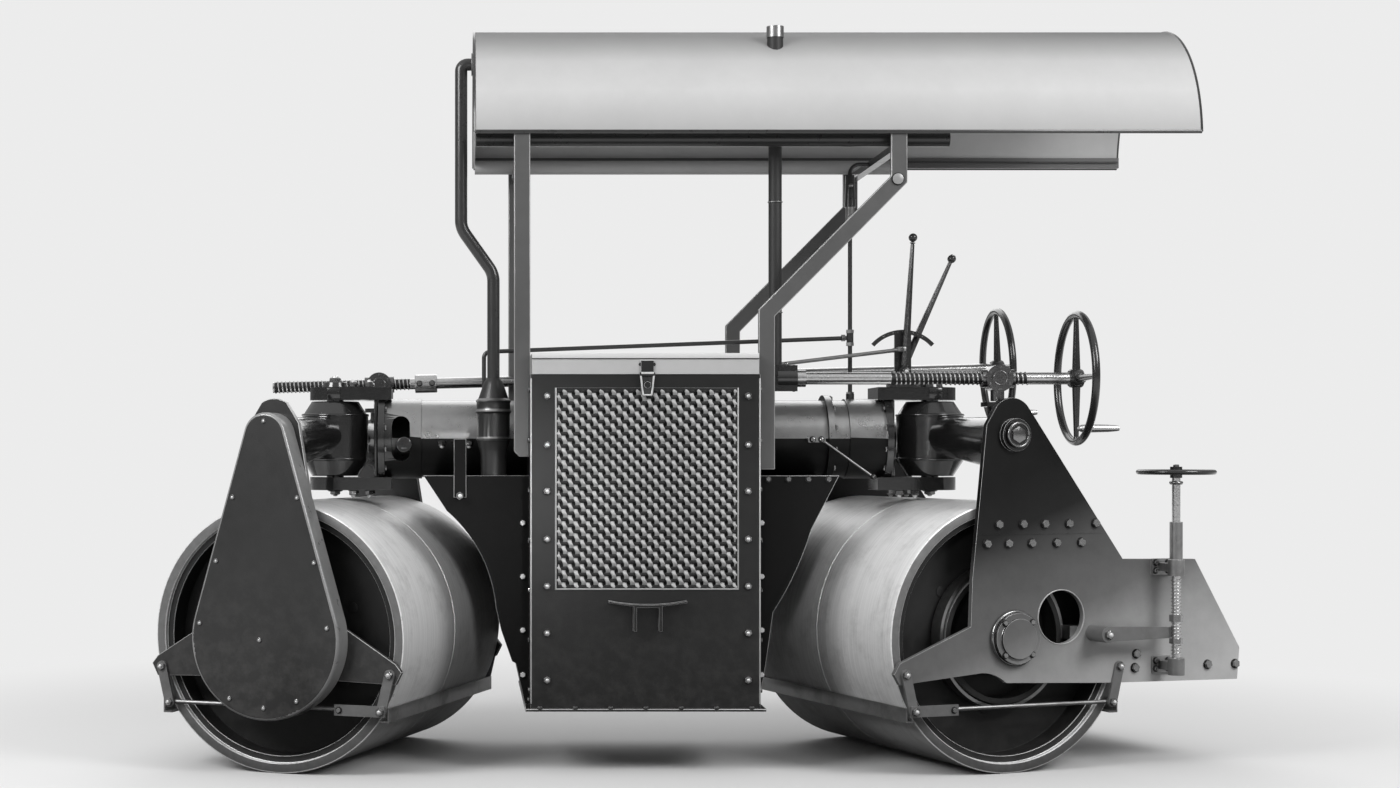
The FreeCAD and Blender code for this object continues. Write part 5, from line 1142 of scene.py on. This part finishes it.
def build_screw(screw: Screw) -> None:
    """Turn one steering screw with its thread and its handwheel."""
    name = "steering_screw_" + screw.side
    start, end = screw.thread
    shaft = Piece(name + "_turned", screw.body("SCREW"), SHAFT_STEEL, WHEEL_BLACK, BOLT_STEEL, THREAD_ROOT_SHADE,
                  place=screw.frame(), node=name)
    shaft.lathe(list(screw.outline), at(0, 0, 0, "X"), 48)
    # The shaft under the thread is near black: painted shade between the turns.
    shaft.paint(3, lambda p, n: start < p.x < end)
    shaft.thread(at(start, 0, 0, "X"), SCREW_R, end - start, 0.02)
    shaft.lathe(HUB, at(screw.wheel, 0, 0, "X"), 48, material=1)
    shaft.ring(at(screw.wheel, 0, 0, "X"), 0.283, 0.017, 1, 120, 16)
    for k in range(4):
        spoke = at(screw.wheel, 0, 0) @ Matrix.Rotation(k * math.pi / 2, 4, "X")
        shaft.rod(spoke @ at(0, 0, 0.03), 0.018, 0.24, 1, 20, 0.0105)
        shaft.rod(spoke @ at(0, 0, 0.255), 0.0098, 0.02, 1, 20, 0.014)
    shaft.lathe(GRIP, at(screw.wheel, 0, -0.222, "X"), 32)
    shaft.fasten(Fastener(0.02, 0.012, stud=0.01), [at(screw.wheel + 0.029, 0, 0, "X")], 2)
    if screw.side == "far":
        shaft.fasten(SMALL_BOLT, [at(x, -0.0445, 0, "-Y") for x in (0.2, 0.262)], 2)
    shaft.done()


def build_steering() -> None:
    """Turn the steering screws, and dress their nuts and bearings."""
    for screw in SCREWS:
        build_screw(screw)
        nut = Piece.of_node("steering_nut_" + screw.side, screw.body("NUT"), NUT_IRON, BOLT_STEEL,
                            place=screw.frame())
        for y in (-0.0565, 0.0565):
            nut.ring(at(0, y, 0, "Y"), 0.03, 0.003, 0, 48)
        for side, facing in SIDES:
            nut.fasten(Fastener(0.007, 0.006), around((0, side * 0.048, 0), 0.048, facing, 6, 0.5), 1)
        nut.done(0.0025)
        bearing = Piece.of_node("screw_bearing_" + screw.side, Body.CHASSIS, CASTING, BOLT_STEEL,
                                place=screw.frame())
        out, facing = (-1, "Y") if screw.side == "near" else (1, "-Y")
        face = out * (0.5475 - 0.014) - screw.origin[1]
        x = sum(screw.bearing) / 2
        bearing.fasten(SMALL_BOLT, [at(x + dx, face, dz, facing)
                                    for dx in (-0.08, 0.03) for dz in (-0.045, 0.045)], 1)
        bearing.rod(at(x, 0, 0.04), 0.011, 0.022, 1, 16)
        bearing.ball(at(x, 0, 0.064), 0.011, 1)
        bearing.done(0.003)


LEVER_FOOT_X, LEVER_FOOT_Z = 1.25, 1.79


def build_controls() -> None:
    """Dress the hand levers, their stand and rods, and the drain lever."""
    stand = Piece.of_node("control_stand", Body.CHASSIS, LEVER_BLACK, FITTING_STEEL, BOLT_STEEL)
    stand.fasten(STUD_NUT, [at(x, y, 1.734) for x in (1.21, 1.29) for y in (-0.1, -0.045)], 2)
    stand.fasten(PIN_NUT, [at(LEVER_FOOT_X, -0.1695, LEVER_FOOT_Z, "-Y")], 2)
    notches = [at(LEVER_FOOT_X + 0.187 * math.sin(a), -0.106, LEVER_FOOT_Z + 0.187 * math.cos(a), "-Y")
               for a in over(-0.5, 0.5, 9)]
    stand.fasten(Fastener(0.0035, 0.003, sides=8), notches, 2)
    stand.done(0.0015)
    Piece.of_node("hand_levers", Body.CHASSIS, LEVER_BLACK, FITTING_STEEL).done(smooth=50.0)
    blades = Piece("lever_blades", Body.CHASSIS, LEVER_BLACK, FITTING_STEEL)
    for y, ball_x, ball_z in ((-0.14, 1.289, 2.412), (-0.06, 1.488, 2.321)):
        foot, tip = Vector((LEVER_FOOT_X, y, LEVER_FOOT_Z)), Vector((ball_x, y, ball_z))
        lean = Vector((0, 0, 1)).rotation_difference(tip - foot).to_matrix().to_4x4()
        along = Matrix.Translation(foot) @ lean
        blades.rod(along @ at(0, 0, 0.03), 0.02, 0.56, 0, 6, 0.0095)
        blades.ring(along @ at(0, 0, 0.598), 0.0095, 0.003, 1, 24)
        blades.fasten(PIN_NUT, [at(LEVER_FOOT_X, y - 0.015, LEVER_FOOT_Z, "-Y")])
    blades.done()
    rods = Piece.of_node("control_rods", Body.CHASSIS, LEVER_BLACK, FITTING_STEEL, BOLT_STEEL)
    rods.paint(1, lambda p, n: p.x > 0.58)
    for y in (-0.146, -0.054):
        for x, z in ((0.56, 1.812), (1.236, 1.894)):
            rods.block((x - 0.022, y - 0.011, z - 0.011), (x + 0.022, y + 0.011, z + 0.011), 1, 0.003)
            rods.fasten(Fastener(0.009, 0.007), [at(x, y - 0.011, z, "-Y")], 2)
    rods.fasten(SMALL_BOLT, [at(0.52, y, z, "X") for y in (-0.155, -0.125, -0.075, -0.045)
                             for z in (1.69, 1.735)], 2)
    rods.done()
    drain = Piece.of_node("drain_lever", Body.CHASSIS, FITTING_STEEL, LEVER_BLACK, BOLT_STEEL)
    drain.paint(1, lambda p, n: p.x > 1.07)
    drain.fasten(SMALL_BOLT, [at(x, -0.218, 1.475, "-Y") for x in (0.81, 0.85)], 2)
    drain.done(smooth=50.0)


BRAKE_X, BRAKE_Y = 0.775, -0.78


def build_brake() -> None:
    """Dress the brake's drum, band, lever, screw and handwheel."""
    place = yoke_frame("right")
    drum = Piece.of_node("brake_drum", Body.ROLL_RIGHT, WEB_PAINT, ROLL_RIM, place=place)
    drum.paint(1, lambda p, n: math.hypot(p.x, p.z - ROLL_R) > 0.296 and abs(n.y) < 0.5)
    drum.done(0.002)
    Piece.of_node("brake_band", Body.YOKE_RIGHT, FITTING_STEEL, BOLT_STEEL, place=place).done()
    lever = Piece.of_node("brake_lever", Body.YOKE_RIGHT, LINK_STEEL, BOLT_STEEL, place=place)
    lever.fasten(Fastener(0.022, 0.016, stud=0.011), [at(0.41, -0.787, 0.612, "-Y")], 1)
    lever.done(0.002)
    screw = Piece.of_node("brake_screw", Body.YOKE_RIGHT, SHAFT_STEEL, WHEEL_BLACK, BOLT_STEEL, THREAD_ROOT_SHADE,
                          place=place)
    screw.paint(1, lambda p, n: p.z > 1.296)
    # The shaft under the thread is near black: painted shade between the turns.
    screw.paint(3, lambda p, n: 0.505 < p.z < 0.85 and math.hypot(p.x - BRAKE_X, p.y - BRAKE_Y) < 0.0195)
    screw.thread(at(BRAKE_X, BRAKE_Y, 0.505), 0.0182, 0.345, 0.0155)
    screw.rod(at(BRAKE_X, BRAKE_Y, 0.66), 0.03, 0.03, 2, 6)
    screw.rod(at(BRAKE_X, BRAKE_Y, 0.562), 0.03, 0.022, 2, 6)
    screw.ring(at(BRAKE_X, BRAKE_Y, 1.28), 0.022, 0.008, 2, 40)
    screw.fasten(Fastener(0.013, 0.01), [at(BRAKE_X, BRAKE_Y, 1.353)], 2)
    screw.done(smooth=45.0)
    bolts = Piece("brake_bracket_bolts", Body.YOKE_RIGHT, BOLT_STEEL, place=place)
    for height in (0.459, 0.9005):
        bolts.fasten(SMALL_BOLT, [at(x, -0.682, height + dz, "-Y")
                                  for x in (0.742, 0.808) for dz in (-0.018, 0.018)])
    bolts.done()


ARCH_Z = 2.8


def build_roof() -> None:
    """Dress the roof with its edge beads and eave strips, and its posts and beams."""
    # The roof's outside takes the painted shade by height.
    roof = Piece.of_node("roof_shell", Body.CHASSIS, ROOF_SHADED_PAINT, ROOF_UNDER, POST_PAINT)
    roof.paint(1, lambda p, n: math.hypot(p.y, p.z - ARCH_Z) < 0.578 and p.x > -0.745)
    roof.paint(2, lambda p, n: p.z < 2.884 and 0.53 < abs(p.y) < 0.5745 and abs(n.z) < 0.9)
    roof.done()
    trim = Piece("roof_trim", Body.CHASSIS, PIPE_PAINT)
    left, right = -0.746, 2.468
    low = math.asin((2.834 - ARCH_Z) / 0.581)
    for x in (left, right):
        rim = [(x + 0.006 * math.cos(a), 0.579 + 0.006 * math.sin(a)) for a in over(0, 2 * math.pi, 9)[:8]]
        trim.arch(rim, ARCH_Z, low)
    for inner, outer in ((-0.583, -0.576), (0.576, 0.583)):
        trim.block((left, inner, 2.826), (right, outer, 2.842), round_by=0.0015)
    trim.block((left + 0.01, 0.535, 2.857), (right - 0.01, 0.545, 2.863))
    trim.done()
    for name in ("roof_posts_left", "roof_posts_right"):
        # The posts' rounded edges are lighter: painted highlight.
        Piece.of_node(name, Body.CHASSIS, POST_PAINT, POST_EDGE_HIGHLIGHT).done(0.004, 1)
    beams = Piece.of_node("roof_beams", Body.CHASSIS, PIPE_PAINT, FAR_RAIL_LIGHT)
    # The far beams are light grey against the near ones' near black: painted light.
    beams.paint(1, lambda p, n: p.y > 0.4)
    beams.done()
    # The pivot heads on the posts take the same light finish: painted highlight.
    bolts = Piece("post_bolts", Body.CHASSIS, POST_EDGE_HIGHLIGHT)
    for side, facing in SIDES:
        bolts.fasten(PIVOT_HEAD, [at(1.125, side * 0.5735, 2.625, facing)])
    bolts.done()


def build_pipes() -> None:
    """Dress the exhaust, the intake, the air cleaner and the feed pipe, and set the pipes' flanges."""
    exhaust = Piece.of_node("exhaust_pipe", Body.CHASSIS, SOOT, FITTING_STEEL)
    exhaust.paint(1, lambda p, n: p.z > 3.2955)
    exhaust.done(smooth=50.0)
    trim = Piece("pipe_trim", Body.CHASSIS, PIPE_PAINT, BOLT_STEEL, POST_PAINT, FITTING_STEEL)
    trim.fasten(SMALL_BOLT, around((0.524, -0.35, 1.7), 0.04, "X", 4, math.pi / 4), 1)
    for z in (2.05, 2.55):
        trim.ring(at(0.617, -0.35, z), 0.0315, 0.003, 3, 48)
    trim.lathe([(-0.76, 0.0285), (-0.76, 0.05), (-0.756, 0.052), (-0.7462, 0.052), (-0.7462, 0.0285)],
               at(0, -0.37, 3.17, "X"), 48, True, 2)
    trim.done()
    cleaner = Piece.of_node("air_cleaner", Body.CHASSIS, CASE_PAINT, FITTING_STEEL, BOLT_STEEL)
    cleaner.paint(1, lambda p, n: 1.6 < p.z < 1.612 or 1.645 < p.z < 1.66 or 1.47 < p.z < 1.487)
    cleaner.done()
    Piece.of_node("intake_pipe", Body.CHASSIS, PIPE_PAINT).done(smooth=50.0)
    feed = Piece.of_node("feed_pipe", Body.CHASSIS, PIPE_PAINT, FITTING_STEEL, BOLT_STEEL)
    feed.paint(1, lambda p, n: 2.43 < p.z < 2.575)
    for x, z in ((1.024, 2.462), (1.024, 2.572), (1.024, 1.917), (1.024, 1.977), (1.024, 1.684),
                 (-0.699, 1.677)):
        feed.rod(at(x, 0, z), 0.0185, 0.016, 1, 6)
    feed.rod(at(1.0, 0, 1.9545, "-X"), 0.0175, 0.016, 1, 6)
    feed.rod(at(1.024, 0, 2.57), 0.026, 0.15, 0, 32, 0.021)
    feed.ball(at(1.024, -0.026, 2.67), 0.01, 1)
    feed.done(smooth=50.0)


def build_insides() -> None:
    """Dress the engine block and the radiator behind the grille, and the deck."""
    Piece.of_node("engine_block", Body.CHASSIS, DARK_BLOCK).done(0.012)
    core = Piece.of_node("radiator", Body.CHASSIS, DARK_BLOCK)
    for x in over(-0.36, 0.385, 26):
        core.block((x - 0.004, -0.5935, 0.83), (x + 0.004, -0.589, 1.69))
    core.done()
    place = yoke_frame("right")
    deck = Piece.of_node("deck", Body.YOKE_RIGHT, FRAME_PAINT, DECK_TOP, place=place)
    deck.paint(1, lambda p, n: n.z > 0.9 and p.z < 0.45)
    deck.done(0.0015)
    tread = Piece("deck_tread", Body.YOKE_RIGHT, DECK_TOP, BOLT_STEEL, place=place)
    bar, pitch = bmesh.new(), 0.032
    bmesh.ops.create_cube(bar, size=1.0, matrix=Matrix.Diagonal((0.034, 0.006, 0.0024, 1.0)))
    spots = [Matrix.Translation((0.68 + pitch * k, -0.6 + pitch * j, 0.4445))
             @ Matrix.Rotation(math.radians(45 if (j + k) % 2 else -45), 4, "Z")
             for k in range(16) for j in range(38)]
    tread.repeat(bar, spots)
    tread.fasten(SMALL_BOLT, [at(x, y, 0.444) for x in (0.665, 0.92, 1.17) for y in (-0.615, 0.615)], 1)
    tread.done()


@dataclass(frozen=True)
class Lamp:
    """A light that faces a target: a spot with a soft edge, or a square where it has no cone."""

    name: str
    place: tuple[float, float, float]
    target: tuple[float, float, float]
    power: float
    size: float
    cone: float = 0.0

    def hang(self) -> None:
        """Add the light. Its size is a spot's radius or a square's side, and its cone is in degrees."""
        data = bpy.data.lights.new(self.name, "SPOT" if self.cone else "AREA")
        data.energy = self.power
        if self.cone:
            data.spot_size = math.radians(self.cone)
            data.spot_blend = 1.0
            data.shadow_soft_size = self.size
        else:
            data.size = self.size
        lamp = bpy.data.objects.new(self.name, data)
        lamp.location = self.place
        way = Vector(self.target) - Vector(self.place)
        lamp.rotation_euler = way.to_track_quat("-Z", "Y").to_euler()
        bpy.context.scene.collection.objects.link(lamp)


LAMPS = (
    Lamp("left_light", (-6.0, -5.0, 5.5), (-0.6, 0.0, 1.2), 330.0, 3.2),
    Lamp("right_light", (5.5, -5.5, 6.0), (0.4, 0.0, 1.0), 330.0, 3.2),
    Lamp("back_light", (0.5, 6.5, 6.0), (0.0, 0.0, 1.2), 150.0, 6.0),
    Lamp("left_roll_beam", (0.2, -6.5, 2.4), (-1.12, 0.1, 0.95), 560.0, 0.3, 12.0),
    Lamp("right_roll_beam", (-1.1, -6.2, 2.4), (1.0, 0.1, 0.95), 460.0, 0.3, 13.0),
)


@dataclass(frozen=True)
class Studio:
    """The camera at the photograph's place, with the lamps, the floor and a pale wall.

    The camera stands at the eye, measured from the machine's middle, and looks level.
    """

    lens: float = 51.52
    sensor: float = 36.0
    shift: tuple[float, float] = (0.1687, 0.0417)
    eye: tuple[float, float, float] = (-0.794, -9.432, 1.416)
    wall: float = 0.84

    def build(self) -> None:
        """Set the camera, the lights, the floor and the world."""
        scene = bpy.context.scene
        scene.view_settings.view_transform = "Standard"
        data = bpy.data.cameras.new("camera")
        data.lens = self.lens
        data.sensor_width = self.sensor
        data.sensor_fit = "HORIZONTAL"
        data.shift_x, data.shift_y = self.shift
        data.clip_end = 200.0
        camera = bpy.data.objects.new("camera", data)
        camera.location = MIDDLE + Vector(self.eye)
        camera.rotation_euler = (math.radians(90.0), 0.0, 0.0)
        scene.collection.objects.link(camera)
        scene.camera = camera
        for lamp in LAMPS:
            lamp.hang()
        self.floor()
        self.sky()

    def floor(self) -> None:
        """Lay the pale floor, which fades into the wall away from the machine."""
        mesh = bmesh.new()
        bmesh.ops.create_grid(mesh, x_segments=1, y_segments=1, size=60.0)
        data = bpy.data.meshes.new("floor")
        mesh.to_mesh(data)
        mesh.free()
        paint = bpy.data.materials.new("floor_paint")
        paint.use_nodes = True
        sheet = NodeSheet(paint.node_tree)
        rays = sheet.add("ShaderNodeLightPath").outputs["Is Camera Ray"]
        tone = sheet.blend(rays, grey(0.03), grey(0.78))
        shader = sheet.add("ShaderNodeBsdfPrincipled", Base_Color=tone, Roughness=0.9)
        apart = sheet.vector("LENGTH", sheet.place()).outputs["Value"]
        fade = sheet.add("ShaderNodeMapRange", interpolation_type="SMOOTHSTEP", Value=apart, From_Min=2.6,
                         From_Max=5.5)
        glow = sheet.add("ShaderNodeEmission", Color=grey(self.wall), Strength=1.0)
        sheet.close(sheet.mix_shaders(fade.outputs["Result"], shader, glow))
        data.materials.append(paint)
        floor = bpy.data.objects.new("floor", data)
        bpy.context.scene.collection.objects.link(floor)

    def sky(self) -> None:
        """Fill the room with even light and show a pale wall behind the machine."""
        world = bpy.data.worlds.new("room")
        bpy.context.scene.world = world
        world.use_nodes = True
        sheet = NodeSheet(world.node_tree)
        rays = sheet.add("ShaderNodeLightPath").outputs["Is Camera Ray"]
        way = sheet.add("ShaderNodeSeparateXYZ", Vector=sheet.add("ShaderNodeTexCoord").outputs["Generated"])
        glow = sheet.add("ShaderNodeMapRange", Value=way.outputs["Z"], From_Min=-0.05, From_Max=0.8,
                         To_Min=0.1, To_Max=0.85)
        room = sheet.add("ShaderNodeBackground", Color=grey(0.8), Strength=glow.outputs[0])
        wall = sheet.add("ShaderNodeBackground", Color=grey(self.wall), Strength=1.0)
        sheet.close(sheet.mix_shaders(rays, room, wall), "ShaderNodeOutputWorld")


def main() -> None:
    """Build the machine's looks in order."""
    for build in (build_rolls, build_grille, build_housing, build_lids, build_frames, build_chain_cases,
                  build_plates, build_scrapers, build_castings, build_steering, build_controls,
                  build_brake, build_roof, build_pipes, build_insides):
        build()
    Studio().build()


if __name__ == "__main__":
    main()
